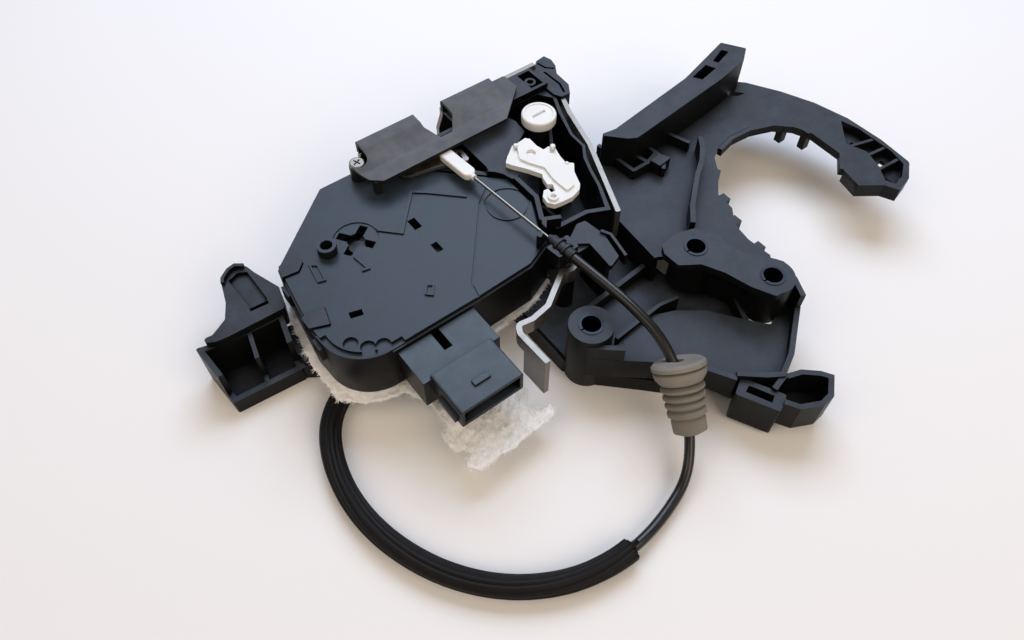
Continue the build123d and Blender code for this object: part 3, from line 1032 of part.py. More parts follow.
with BuildPart() as cable_clip:
    SADDLE_LOW = STRIP_TOP + SEAT
    # Post from the carrier up to the outside release lever, and the lever's pivot
    post(RELEASE_AXIS, 4.5, BASE_TOP, STRIP_TOP - 8 - SEAT)
    post(RELEASE_AXIS, PIVOT_R, BASE_TOP, SADDLE_LOW + 1)
    # Saddle for the ferrule, with a tongue and a guard rail
    plate([(4.5, 38.4), (17, 38.4), (17, 30), (5.5, 30)], SADDLE_LOW, WIRE_LEVEL + 1.5, corner=1.0)
    plate([(16, 37), (27.5, 43.8), (32, 43), (33.6, 31.3), (30.2, 17), (23, 14.4), (24.5, 31)],
          FRAME_TOP - 3, FRAME_TOP, corner=0.8)
    plate([(15, 38), (27, 41), (25.5, 31), (15, 31)], SADDLE_LOW, FRAME_TOP - 2)
    wall([(28.6, 38), (27.2, 20)], BASE_TOP, FRAME_TOP - 1, thickness=2.4)
    wall([(33.0, 33), (35.2, 28.4), (32.2, 14.6)], FRAME_TOP - 5, FRAME_TOP + 1.5, thickness=1.4)
    wire_rod(FERRULE_R, -8, 20, mode=Mode.SUBTRACT)
    wire_rod(FERRULE_R + 1, 4, 5.5, mode=Mode.SUBTRACT)
    wire_rod(FERRULE_R + 1, 8.5, 10, mode=Mode.SUBTRACT)
    block((7.4, 13.8), (28, 41), (WIRE_LEVEL, WIRE_LEVEL + 6), mode=Mode.SUBTRACT)
cable_clip.part.label = "cable_clip"
export_step(cable_clip.part, "parts/cable_clip.step")

SHEATH_START = wire_point(FERRULE_LENGTH)
SHEATH_ROUTE = [
    tuple(SHEATH_START), tuple(wire_point(FERRULE_LENGTH + 18)), (15.3, -10, 46), (16.6, -28, 41),
    (13.0, -45, 31), (7.2, -60, 16), (-4, -72, 6), (-22, -77.8, 4.2), (-40, -80.8, 5.4), (-58, -79.8, 5.4),
    (-77, -73.8, 5.4), (-96, -61, 5.4), (-111.5, -42, 5.4), (-121.5, -19, 5.4), (-125, 4, 5.4),
    (-122, 27, 5.4), (-113, 46, 5.4), (-97, 57, 5.4), (-77, 59.5, 5.4), (-58, 56, 3.8), (-40, 54, 3.0),
]


def corner_radii(route):
    """The largest even arcs that the runs beside each corner allow."""
    points = [Vector(*point) for point in route]
    radii = []
    for before, corner, after in zip(points, points[1:], points[2:]):
        turn = (corner - before).get_angle(after - corner)
        run = min((corner - before).length, (after - corner).length)
        radii.append(0.45 * run / tan(radians(turn / 2)))
    return radii


SHEATH_RADII = corner_radii(SHEATH_ROUTE)
print("sheath radii, mm:", [round(radius, 1) for radius in SHEATH_RADII])

with BuildPart() as cable_sheath:
    with BuildLine() as run:
        FilletPolyline(*SHEATH_ROUTE, radius=SHEATH_RADII)
    with BuildSketch(Plane(origin=SHEATH_START, z_dir=WIRE_DIRECTION)):
        Circle(SHEATH_R)
    sweep(path=run.line)
    sheath_length = run.wires()[0].length
    print("sheath length", round(sheath_length, 1), "volume ratio",
          round(cable_sheath.part.volume / (pi * SHEATH_R**2 * sheath_length), 4))
    wire_rod(WIRE_BORE_R, FERRULE_LENGTH - 1, FERRULE_LENGTH + STROKE + 4, mode=Mode.SUBTRACT)
cable_sheath.part.label = "cable_sheath"
export_step(cable_sheath.part, "parts/cable_sheath.step")


def midpoint(first, second):
    """The point halfway between two points."""
    return tuple((a + b) / 2 for a, b in zip(first, second))


SLEEVE_FIRST = 9
SLEEVE_LAST = 17
SLEEVE_ROUTE = [
    midpoint(SHEATH_ROUTE[SLEEVE_FIRST - 1], SHEATH_ROUTE[SLEEVE_FIRST]),
    *SHEATH_ROUTE[SLEEVE_FIRST:SLEEVE_LAST + 1],
    midpoint(SHEATH_ROUTE[SLEEVE_LAST], SHEATH_ROUTE[SLEEVE_LAST + 1]),
]

with BuildPart() as cable_sleeve:
    with BuildLine() as run:
        FilletPolyline(*SLEEVE_ROUTE, radius=SHEATH_RADII[SLEEVE_FIRST - 1:SLEEVE_LAST])
    with BuildSketch(Plane(origin=run.line @ 0, z_dir=run.line % 0)):
        Circle(SLEEVE_R)
        Circle(SHEATH_R + 0.2, mode=Mode.SUBTRACT)
    sweep(path=run.line)
cable_sleeve.part.label = "cable_sleeve"
export_step(cable_sleeve.part, "parts/cable_sleeve.step")

GROMMET_BACK = 10.5
GROMMET_PROFILE = [
    (2.6, 0), (10.6, 0), (11.8, 1.0), (11.9, 2.6), (10.9, 3.2), (11.6, 4.2), (11.2, 6.5), (9.4, 9),
    (8.4, 9.8),
    (9.7, 11.2), (9.6, 12.2), (8.1, 13.4), (9.3, 14.8), (9.2, 15.8), (7.9, 17), (9.0, 18.4), (8.8, 19.4),
    (7.7, 20.6), (8.7, 22), (8.6, 23.5), (7.2, 24.6), (7.6, 26), (7.4, 31), (4.5, 32.5), (2.6, 32.5),
]

GROMMET_AXIS = (Vector(*SHEATH_ROUTE[5]) - Vector(*SHEATH_ROUTE[4])).normalized()
GROMMET_START = Vector(*SHEATH_ROUTE[4]) - GROMMET_AXIS * GROMMET_BACK
GROMMET_SIDE = GROMMET_AXIS.cross(Vector(0, 0, 1)).normalized()

with BuildPart() as cable_grommet:
    grommet_plane = Plane(origin=GROMMET_START, x_dir=GROMMET_SIDE, z_dir=GROMMET_SIDE.cross(GROMMET_AXIS))
    with BuildSketch(grommet_plane) as profile:
        Polygon(*GROMMET_PROFILE, align=None)
    revolve(profile.sketch, axis=Axis(GROMMET_START, GROMMET_AXIS))
    with BuildLine() as run:
        FilletPolyline(*SHEATH_ROUTE[2:8], radius=SHEATH_RADII[2:6])
    with BuildSketch(Plane(origin=run.line @ 0, z_dir=run.line % 0)) as passage:
        Circle(SHEATH_R + SEAT)
    sweep(passage.sketch, path=run.line, mode=Mode.SUBTRACT)
cable_grommet.part.label = "cable_grommet"
export_step(cable_grommet.part, "parts/cable_grommet.step")

with BuildPart() as cable_nipple:
    NIPPLE_END = Vector(*SHEATH_ROUTE[-1])
    NIPPLE_DIRECTION = (NIPPLE_END - Vector(*SHEATH_ROUTE[-2])).normalized()
    with BuildSketch(Plane(origin=NIPPLE_END, z_dir=NIPPLE_DIRECTION)) as section:
        Circle(SHEATH_R + 0.15)
    extrude(section.sketch, amount=9)
cable_nipple.part.label = "cable_nipple"
export_step(cable_nipple.part, "parts/cable_nipple.step")
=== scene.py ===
"""Dresses a vehicle door latch with its electric actuator, release cable and carrier bracket.

The file is laid out as an add-on: one operator for each group of like pieces, and one for the stage.
Lengths are in metres and the frame is the latch's own, with +Z along the cover's normal.
"""

import math
import random

import bmesh
import bpy
from mathutils import Matrix, Vector


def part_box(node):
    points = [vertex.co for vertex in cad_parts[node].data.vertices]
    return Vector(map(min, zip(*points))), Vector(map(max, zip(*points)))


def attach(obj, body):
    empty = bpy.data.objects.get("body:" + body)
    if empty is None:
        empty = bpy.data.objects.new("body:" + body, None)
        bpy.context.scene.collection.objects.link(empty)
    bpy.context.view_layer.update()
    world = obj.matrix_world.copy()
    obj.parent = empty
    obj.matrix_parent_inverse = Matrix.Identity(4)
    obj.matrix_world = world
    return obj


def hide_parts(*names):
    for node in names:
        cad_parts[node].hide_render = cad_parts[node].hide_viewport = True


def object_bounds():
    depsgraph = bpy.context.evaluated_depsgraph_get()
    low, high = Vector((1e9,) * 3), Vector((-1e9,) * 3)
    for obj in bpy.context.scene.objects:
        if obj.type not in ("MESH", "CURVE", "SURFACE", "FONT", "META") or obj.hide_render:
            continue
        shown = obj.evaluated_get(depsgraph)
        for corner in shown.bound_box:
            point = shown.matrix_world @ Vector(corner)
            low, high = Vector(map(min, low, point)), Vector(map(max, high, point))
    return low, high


bl_info = {
    "name": "Door latch dresser",
    "version": (1, 0, 0),
    "blender": (4, 5, 0),
    "location": "View3D > Sidebar > Door latch",
    "description": "Gives a door latch actuator its cable, felt, small fittings and finishes",
    "category": "Object",
}

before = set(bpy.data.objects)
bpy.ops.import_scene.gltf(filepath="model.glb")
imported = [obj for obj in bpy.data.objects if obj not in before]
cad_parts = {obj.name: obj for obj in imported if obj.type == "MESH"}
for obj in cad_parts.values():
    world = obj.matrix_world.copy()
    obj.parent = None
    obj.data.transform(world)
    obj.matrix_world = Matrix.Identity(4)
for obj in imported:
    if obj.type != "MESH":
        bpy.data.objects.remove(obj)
CAD_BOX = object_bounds()
MM = 0.001

# The cable's line from the ferrule to its hidden end, in millimetres
CABLE_ROUTE = [
    (11.420, 27.053, 47.9), (12.989, 9.122, 47.9), (15.3, -10, 46), (16.6, -28, 41), (13.0, -45, 31),
    (7.2, -60, 16), (-4, -72, 6), (-22, -77.8, 4.2), (-40, -80.8, 5.4), (-58, -79.8, 5.4), (-77, -73.8, 5.4),
    (-96, -61, 5.4), (-111.5, -42, 5.4), (-121.5, -19, 5.4), (-125, 4, 5.4), (-122, 27, 5.4), (-113, 46, 5.4),
    (-97, 57, 5.4), (-77, 59.5, 5.4), (-58, 56, 3.8), (-40, 54, 3.0),
]
# Where the soft sleeve starts and stops on that line, in millimetres
SLEEVE_FIRST = (-45, -80.5, 5.4)
SLEEVE_LAST = (-87, 58.2, 5.4)
SLEEVE_SEGMENTS = 80
SLEEVE_RIDGES = 10
# The sleeve's ridges swing to and fro along it: by how many radians, and over 2 pi times which length in metres
SLEEVE_TWIST = 0.6
SLEEVE_TWIST_LENGTH = 0.045

# The felt's cut outline in plan, in millimetres, with the two notches of its loose end
FELT_PATTERN = [
    (-58, 144), (-101, 111), (-106, 72), (-106, 48), (-97, 39), (-86, 34.5), (-79, 32), (-74, 22), (-74, 8),
    (-79.5, 4), (-80, -2), (-79.5, -5.5), (-74.5, -6), (-74, -10.5), (-78, -11.5), (-79.5, -13.5), (-78, -18),
    (-74.5, -19.5), (-69, -19), (-62.5, -18), (-57.5, -19.5), (-50, -17.5), (-46, -18.5), (-37, -18),
    (-31.5, -16.5), (-29.5, -13), (-30, -10.5), (-37, -10), (-37, -4.5), (-33, -1), (-33.5, 3.5), (-34, 34),
    (-6, 35.5), (13, 42), (16, 55), (16, 93), (-16, 127), (-28, 127), (-28, 141),
]
# The felt's relief: a name, the width of its lumps and their height, in millimetres
FELT_RELIEF = (("clumps", 3.4, 2.2), ("tufts", 1.3, 1.4))
FELT_GRID_MM = 0.8
FIBRE_TRIES = 26000
FIBRE_SEED = 7
FIBRE_HALF_WIDTH_MM = 0.13
FIBRE_LOWEST_MM = 0.3
# Fibres stand all over the felt's loose end, which is nearer than this in y, and else on its edges alone
LOOSE_END_MM = 36

# The white lever's pegs: x and y in millimetres, share of the full width, height in millimetres
LUGS = ((33.6, 99.2, 1.0, 1.8), (47.6, 87.0, 1.25, 2.4), (46.5, 74.5, 0.8, 1.0))
# How far the pegs' feet lie under the lever's highest face, the rounding of their tops and their taper
LUG_FOOT_MM = 0.4
LUG_ROUND_MM = 0.25
LUG_TAPER = 0.84

# Soft lamps: name, place, size, power in watts and tint, all turned to one spot
LAMPS = (
    ("window lamp", (0.42, 0.50, 0.86), (0.95, 0.62), 10.2, "#d6e5ff"),
    ("room lamp", (-0.9, 0.1, 1.2), (1.0, 1.0), 5.0, "#ffebd4"),
    ("front lamp", (0.1, -1.1, 1.0), (1.1, 0.8), 8.5, "#ffebd4"),
)
LAMP_AIM = (0.0, 0.03, 0.0)
# The room's warm light, and the plain backdrop that is seen in its place
ROOM_LIGHT = (1.0, 0.88, 0.75, 1)
ROOM_STRENGTH = 0.30
BACKDROP_STRENGTH = 0.9
FLOOR_HALF_WIDTH = 4.0
FLOOR_GAP = 0.0002
CAMERA_PLACE = (-0.1518, -0.1412, 0.3257)
CAMERA_AIM = (-0.0110, 0.0436, 0.0)
CAMERA_LENS = 28.125


def linear(code):
    """An sRGB hex colour as linear red, green and blue."""
    channels = (int(code[i:i + 2], 16) / 255 for i in (1, 3, 5))
    return tuple(c / 12.92 if c <= 0.04045 else ((c + 0.055) / 1.055) ** 2.4 for c in channels)


def colour_property(name, description, code):
    """A colour that a user may change, with its default given as sRGB hex."""
    return bpy.props.FloatVectorProperty(
        name=name, description=description, subtype="COLOR", size=3, min=0, max=1, default=linear(code)
    )


def length_property(name, description, millimetres):
    """A length that a user may change, with its default given in millimetres."""
    return bpy.props.FloatProperty(
        name=name, description=description, subtype="DISTANCE", unit="LENGTH", min=0,
        default=millimetres * MM, precision=5,
    )


# ---------------------------------------------------------------------------------------------
# Sizes and colours
# ---------------------------------------------------------------------------------------------


class LatchSizes(bpy.types.PropertyGroup):
    """Sizes of the pieces that this add-on makes."""

    sheath: length_property("Sheath", "Outer diameter of the release cable's sheath", 4.7)
    sleeve: length_property("Sleeve", "Outer diameter of the soft sleeve over the sheath", 10.0)
    sleeve_wall: length_property("Sleeve wall", "Thickness of the sleeve's wall", 0.7)
    sleeve_ridge: length_property("Sleeve ridge", "Height of the ridges that run along the sleeve", 0.7)
    sleeve_corner: length_property("Sleeve corner", "Reach of the two corners at the sleeve's first end", 3.0)
    lug: length_property("Lever lugs", "Width of the pegs on the white lever", 2.4)
    felt_fibre: length_property("Felt fibre", "Length of the fibres that stand out of the felt", 2.4)
    edge_round: length_property("Edge rounding", "Radius of the small rounding on moulded edges", 0.35)
    pressed_round: length_property("Pressed edge", "Radius of the rounding on pressed steel edges", 0.15)


class LatchColours(bpy.types.PropertyGroup):
    """Colours of the latch's materials."""

    carrier: colour_property("Carrier", "Glass-filled nylon of the carrier", "#0c0d0e")
    case: colour_property("Case", "Black moulded nylon of the rear case and the frame", "#09090a")
    cover: colour_property("Cover", "Moulded plastic of the front cover", "#0e1114")
    shield: colour_property("Shield", "Matte moulded plastic of the shield", "#1b1c1e")
    connector: colour_property("Connector", "Moulded plastic of the plug socket", "#0c0f12")
    # These four colours are painted sheen: they lighten level faces where a lamp's sheen would fall.
    carrier_painted_sheen: colour_property("Carrier painted sheen", "Painted sheen on the carrier's level faces", "#3b424b")
    cover_painted_sheen: colour_property("Cover painted sheen", "Painted sheen on the front cover", "#2f3b46")
    shield_painted_sheen: colour_property("Shield painted sheen", "Painted sheen on the shield", "#5f6266")
    connector_painted_sheen: colour_property("Socket painted sheen", "Painted sheen on the plug socket", "#47545f")
    white: colour_property("White parts", "Natural acetal of the cap, the lever and the bead", "#e0e2e1")
    zinc: colour_property("Zinc", "Zinc-plated pressed steel", "#8a867f")
    dark_steel: colour_property("Dark steel", "Hardened steel of catch and pawl", "#6f7072")
    brass: colour_property("Brass", "Machined brass of the motor's worm", "#b99a55")
    bush: colour_property("Bush", "Rolled steel strip of the bushes", "#2c3036")
    felt: colour_property("Felt", "Needled white felt", "#f8fafd")
    sheath: colour_property("Sheath", "Extruded plastic of the sheath", "#070808")
    sleeve: colour_property("Sleeve", "Soft plastic of the sleeve", "#0c0a0b")
    grommet: colour_property("Grommet", "Warm grey rubber of the grommet", "#7c7871")
    floor: colour_property("Floor", "Pale floor under the latch", "#ebebeb")


# ---------------------------------------------------------------------------------------------
# Materials
# ---------------------------------------------------------------------------------------------


def add(tree, kind, sockets=None, **settings):
    """Adds a node, with settings by name, and values or links by socket."""
    made = tree.nodes.new(kind)
    for key, value in settings.items():
        setattr(made, key, value)
    for key, value in (sockets or {}).items():
        socket = made.inputs[key]
        if isinstance(value, bpy.types.NodeSocket):
            tree.links.new(value, socket)
        else:
            socket.default_value = value
    return made


def start_material(name):
    """An empty material, its node tree, its surface shader and its object coordinates."""
    material = bpy.data.materials.new(name)
    material.use_nodes = True
    tree = material.node_tree
    tree.nodes.clear()
    shader = add(tree, "ShaderNodeBsdfPrincipled")
    add(tree, "ShaderNodeOutputMaterial", {"Surface": shader.outputs["BSDF"]})
    place = add(tree, "ShaderNodeTexCoord").outputs["Object"]
    return material, tree, shader, place


def shades(tree, factor, colours):
    """A ramp of evenly spaced colours, driven by a factor."""
    ramp = add(tree, "ShaderNodeValToRGB", {"Fac": factor})
    stops = ramp.color_ramp.elements
    for index, colour in enumerate(colours):
        stop = stops[index] if index < 2 else stops.new(1.0)
        stop.color = (*colour, 1)
    for index in range(len(colours)):
        stops[index].position = 0.3 + 0.4 * index / (len(colours) - 1)
    return ramp.outputs["Color"]


def scaled(colour, factor):
    """A colour made lighter or darker."""
    return tuple(min(1.0, c * factor) for c in colour)


def noise(tree, place, width_mm, detail, roughness=0.5, distortion=0.0):
    """Noise with lumps of about the given width."""
    made = add(tree, "ShaderNodeTexNoise", {"Vector": place, "Scale": 1 / (width_mm * MM), "Detail": detail,
                                            "Roughness": roughness, "Distortion": distortion})
    return made.outputs["Fac"]


def mapped(tree, value, low, high, to_low=0.0, to_high=1.0):
    """A value moved from one range to another, and held inside it."""
    made = add(tree, "ShaderNodeMapRange", {"Value": value, "From Min": low, "From Max": high,
                                            "To Min": to_low, "To Max": to_high})
    return made.outputs["Result"]


def joined(tree, operation, first, second):
    """Two values worked into one."""
    return add(tree, "ShaderNodeMath", {0: first, 1: second}, operation=operation).outputs["Value"]


def blended(tree, share, first, second):
    """The first colour, or the second where the share is one."""
    return add(tree, "ShaderNodeMix", {0: share, 6: first, 7: second}, data_type="RGBA").outputs[2]


def open_air(tree, width_mm):
    """How far a spot of a piece is from the piece's own recesses of about the given width."""
    made = add(tree, "ShaderNodeAmbientOcclusion", {"Distance": width_mm * MM}, only_local=True)
    return made.outputs["AO"]


def bumped(tree, height, strength, depth_mm):
    """A normal that follows a height."""
    made = add(tree, "ShaderNodeBump", {"Height": height, "Strength": strength, "Distance": depth_mm * MM})
    return made.outputs["Normal"]


def surface(tree, shader, tint, normal, roughness):
    """Gives a shader its colour, its relief and its roughness, which is a constant or an output."""
    tree.links.new(tint, shader.inputs["Base Color"])
    tree.links.new(normal, shader.inputs["Normal"])
    if isinstance(roughness, bpy.types.NodeSocket):
        tree.links.new(roughness, shader.inputs["Roughness"])
    else:
        shader.inputs["Roughness"].default_value = roughness


def moulded(name, colour, roughness, grain_mm, relief, specular=0.16, patch=0.12, painted_sheen=None,
            recess_mm=None):
    """Injection-moulded plastic: an even colour over a fine spark-eroded grain.

    A painted sheen lightens the moulding's level faces in smudges, where a lamp's sheen would fall. It stays
    out of the recesses that are narrower than the given width, which leaves painted shade in them.
    """
    material, tree, shader, place = start_material(name)
    flow = noise(tree, place, 30, 4.0)
    tint = shades(tree, flow, [scaled(colour, 1 - patch), colour, scaled(colour, 1 + patch)])
    grain = noise(tree, place, grain_mm, 2.0)
    handled = noise(tree, place, 12, 5.0, 0.65)
    matte = mapped(tree, handled, 0.3, 0.7, roughness - 0.04, roughness + 0.05)
    # Painted sheen: level faces are blended towards the sheen colour in smudges, and recesses are left out of
    # it as painted shade.
    if painted_sheen:
        facing = add(tree, "ShaderNodeSeparateXYZ", {"Vector": place.node.outputs["Normal"]})
        level = mapped(tree, facing.outputs["Z"], 0.55, 0.95)
        smudged = mapped(tree, handled, 0.35, 0.65, 0.6, 1.0)
        share = joined(tree, "MULTIPLY", level, smudged)
        if recess_mm:
            share = joined(tree, "MULTIPLY", share, mapped(tree, open_air(tree, recess_mm), 0.35, 0.75))
        tint = blended(tree, share, tint, (*painted_sheen, 1))
    surface(tree, shader, tint, bumped(tree, grain, relief, 0.05), matte)
    shader.inputs["Specular IOR Level"].default_value = specular
    return material


def bellows_rubber(name, colour):
    """Moulded rubber: a powdery bloom, and painted shade that darkens the folds."""
    material = moulded(name, colour, 0.75, 1.2, 0.5, specular=0.2, patch=0.2)
    tree = material.node_tree
    shader = next(node for node in tree.nodes if node.type == "BSDF_PRINCIPLED")
    bloom = shader.inputs["Base Color"].links[0].from_socket
    # Painted shade: where the piece closes in on itself, in the folds, the colour falls to 0.12 of itself.
    fold_shade_mask = mapped(tree, open_air(tree, 4), 0.35, 0.9)
    tree.links.new(blended(tree, fold_shade_mask, (*scaled(colour, 0.12), 1), bloom), shader.inputs["Base Color"])
    return material


def plated(name, colour, roughness, stain=0.25):
    """Plated or bare pressed steel: fine rolling lines, and a cloudy bloom on the plating."""
    material, tree, shader, place = start_material(name)
    lines = add(tree, "ShaderNodeMapping", {"Vector": place, "Scale": (1.0, 1.0, 0.06)})
    rolled = noise(tree, lines.outputs["Vector"], 0.5, 3.0)
    bloom = noise(tree, place, 6, 6.0, 0.7)
    tint = shades(tree, bloom, [scaled(colour, 1 - stain), colour, scaled(colour, 1.08)])
    gloss = mapped(tree, bloom, 0.3, 0.7, roughness - 0.08, roughness + 0.12)
    surface(tree, shader, tint, bumped(tree, rolled, 0.25, 0.02), gloss)
    shader.inputs["Metallic"].default_value = 1.0
    return material


def needled_felt(name, colour):
    """Needled polyester felt: soft white fibres in tufts, with painted shade greying the hollows between them.
    """
    material, tree, shader, place = start_material(name)
    tufts = noise(tree, place, 2.0, 6.0, 0.7, 0.6)
    fibres = noise(tree, place, 0.45, 4.0)
    # Painted shade: where the tufts' noise is low, which the bump makes hollows, the colour is greyed to 0.84
    # of itself.
    tint = shades(tree, tufts, [scaled(colour, 0.84), colour, colour])
    surface(tree, shader, tint, bumped(tree, joined(tree, "ADD", tufts, fibres), 0.6, 0.4), 0.95)
    shader.inputs["Sheen Weight"].default_value = 1.0
    shader.inputs["Sheen Roughness"].default_value = 0.6
    return material


def extruded_tube(name, colour, roughness, ring_mm, relief):
    """Extruded tube: fine rings that follow the tube's own map, over a smooth skin."""
    material, tree, shader, place = start_material(name)
    along = add(tree, "ShaderNodeUVMap").outputs["UV"]
    drawn_out = add(tree, "ShaderNodeMapping", {"Vector": along, "Scale": (1.0, 0.05, 1.0)})
    rings = noise(tree, drawn_out.outputs["Vector"], ring_mm, 3.0)
    dust = noise(tree, place, 3, 8.0, 0.75)
    tint = shades(tree, dust, [scaled(colour, 0.8), colour, scaled(colour, 1.8)])
    surface(tree, shader, tint, bumped(tree, rings, relief, 0.1), roughness)
    shader.inputs["Specular IOR Level"].default_value = 0.2
    return material


def pale_floor(name, colour):
    """Matte painted board, pale and even."""
    material, _, shader, _ = start_material(name)
    shader.inputs["Base Color"].default_value = (*colour, 1)
    shader.inputs["Roughness"].default_value = 0.9
    shader.inputs["Specular IOR Level"].default_value = 0.1
    return material


# ---------------------------------------------------------------------------------------------
# Pieces
# ---------------------------------------------------------------------------------------------


# Corners closer than this are one, faces that turn less than this are flat, edges that turn more are sharp
JOIN_MM = 0.002
FLAT_DEGREES = 0.6
SHARP_DEGREES = 32


def finish(material, *nodes, rounding=None):
    """Gives solid pieces a material, and their sharp edges a small rounding."""
    for name in nodes:
        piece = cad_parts[name]
        piece.data.materials.clear()
        piece.data.materials.append(material)
        if not rounding:
            continue
        weld = piece.modifiers.new("Joined corners", "WELD")
        weld.merge_threshold = JOIN_MM * MM
        flat = piece.modifiers.new("Flat faces", "DECIMATE")
        flat.decimate_type = "DISSOLVE"
        flat.angle_limit = math.radians(FLAT_DEGREES)
        edge = piece.modifiers.new("Rounded edges", "BEVEL")
        edge.width = rounding
        edge.segments = 2
        edge.limit_method = "ANGLE"
        edge.angle_limit = math.radians(SHARP_DEGREES)
        edge.harden_normals = False
        edge.use_clamp_overlap = True


def link(name, mesh, material, body):
    """A finished mesh as a piece that rides on a body."""
    piece = bpy.data.objects.new(name, mesh)
    bpy.context.scene.collection.objects.link(piece)
    piece.data.materials.clear()
    piece.data.materials.append(material)
    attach(piece, body)
    return piece


def shade_smooth(mesh):
    """Smooths a mesh's faces."""
    for face in mesh.polygons:
        face.use_smooth = True


def as_mesh(form, name):
    """The mesh of a form that is then let go."""
    mesh = bpy.data.meshes.new(name)
    form.to_mesh(mesh)
    form.free()
    return mesh


def route_curve(name):
    """The cable's line as a smooth open spline with the route's points as its control points."""
    curve = bpy.data.curves.new(name, "CURVE")
    curve.dimensions = "3D"
    curve.resolution_u = 10
    spline = curve.splines.new("NURBS")
    spline.points.add(len(CABLE_ROUTE) - 1)
    for point, (x, y, z) in zip(spline.points, CABLE_ROUTE):
        point.co = (x * MM, y * MM, z * MM, 1)
    spline.order_u = 3
    spline.use_endpoint_u = True
    return curve


def route_line():
    """Points read from the cable's smooth line."""
    holder = bpy.data.objects.new("cable_line", route_curve("cable_line"))
    bpy.context.scene.collection.objects.link(holder)
    bpy.context.view_layer.update()
    mesh = bpy.data.meshes.new_from_object(holder)
    points = [v.co.copy() for v in mesh.vertices]
    bpy.data.meshes.remove(mesh)
    bpy.data.objects.remove(holder)
    return points


def nearest(points, target):
    """The index of the point nearest to a target in millimetres."""
    goal = Vector(target) * MM
    return min(range(len(points)), key=lambda index: (points[index] - goal).length)


def aimed(thing, place, target):
    """Stands a lamp or a camera at a place, turned to a target."""
    thing.location = place
    thing.rotation_euler = (Vector(target) - Vector(place)).to_track_quat("-Z", "Y").to_euler()
    return thing


class LATCH_OT_stage(bpy.types.Operator):
    """Make the pale floor, the soft lamps and the camera"""

    bl_idname = "latch.stage"
    bl_label = "Stage"

    def execute(self, context):
        scene = context.scene
        colours = scene.latch_colours
        scene.view_settings.view_transform = "Standard"

        ground = bmesh.new()
        bmesh.ops.create_grid(ground, x_segments=1, y_segments=1, size=FLOOR_HALF_WIDTH)
        floor = bpy.data.objects.new("floor", as_mesh(ground, "floor"))
        floor.data.materials.append(pale_floor("painted_board", colours.floor))
        floor.location.z = CAD_BOX[0][2] - FLOOR_GAP
        scene.collection.objects.link(floor)

        world = bpy.data.worlds.new("soft room")
        world.use_nodes = True
        tree = world.node_tree
        tree.nodes.clear()
        rays = add(tree, "ShaderNodeLightPath")
        room = add(tree, "ShaderNodeBackground", {"Color": ROOM_LIGHT, "Strength": ROOM_STRENGTH})
        backdrop = add(tree, "ShaderNodeBackground", {"Color": (*colours.floor, 1),
                                                      "Strength": BACKDROP_STRENGTH})
        mixed = add(tree, "ShaderNodeMixShader", {0: rays.outputs["Is Camera Ray"],
                                                  1: room.outputs["Background"],
                                                  2: backdrop.outputs["Background"]})
        add(tree, "ShaderNodeOutputWorld", {"Surface": mixed.outputs["Shader"]})
        scene.world = world

        for name, place, size, power, tint in LAMPS:
            light = bpy.data.lights.new(name, "AREA")
            light.shape = "RECTANGLE"
            light.size, light.size_y = size
            light.energy = power
            light.color = linear(tint)
            lamp = bpy.data.objects.new(name, light)
            scene.collection.objects.link(aimed(lamp, place, LAMP_AIM))

        lens = bpy.data.cameras.new("camera")
        lens.lens = CAMERA_LENS
        camera = aimed(bpy.data.objects.new("camera", lens), CAMERA_PLACE, CAMERA_AIM)
        scene.collection.objects.link(camera)
        scene.camera = camera
        return {"FINISHED"}


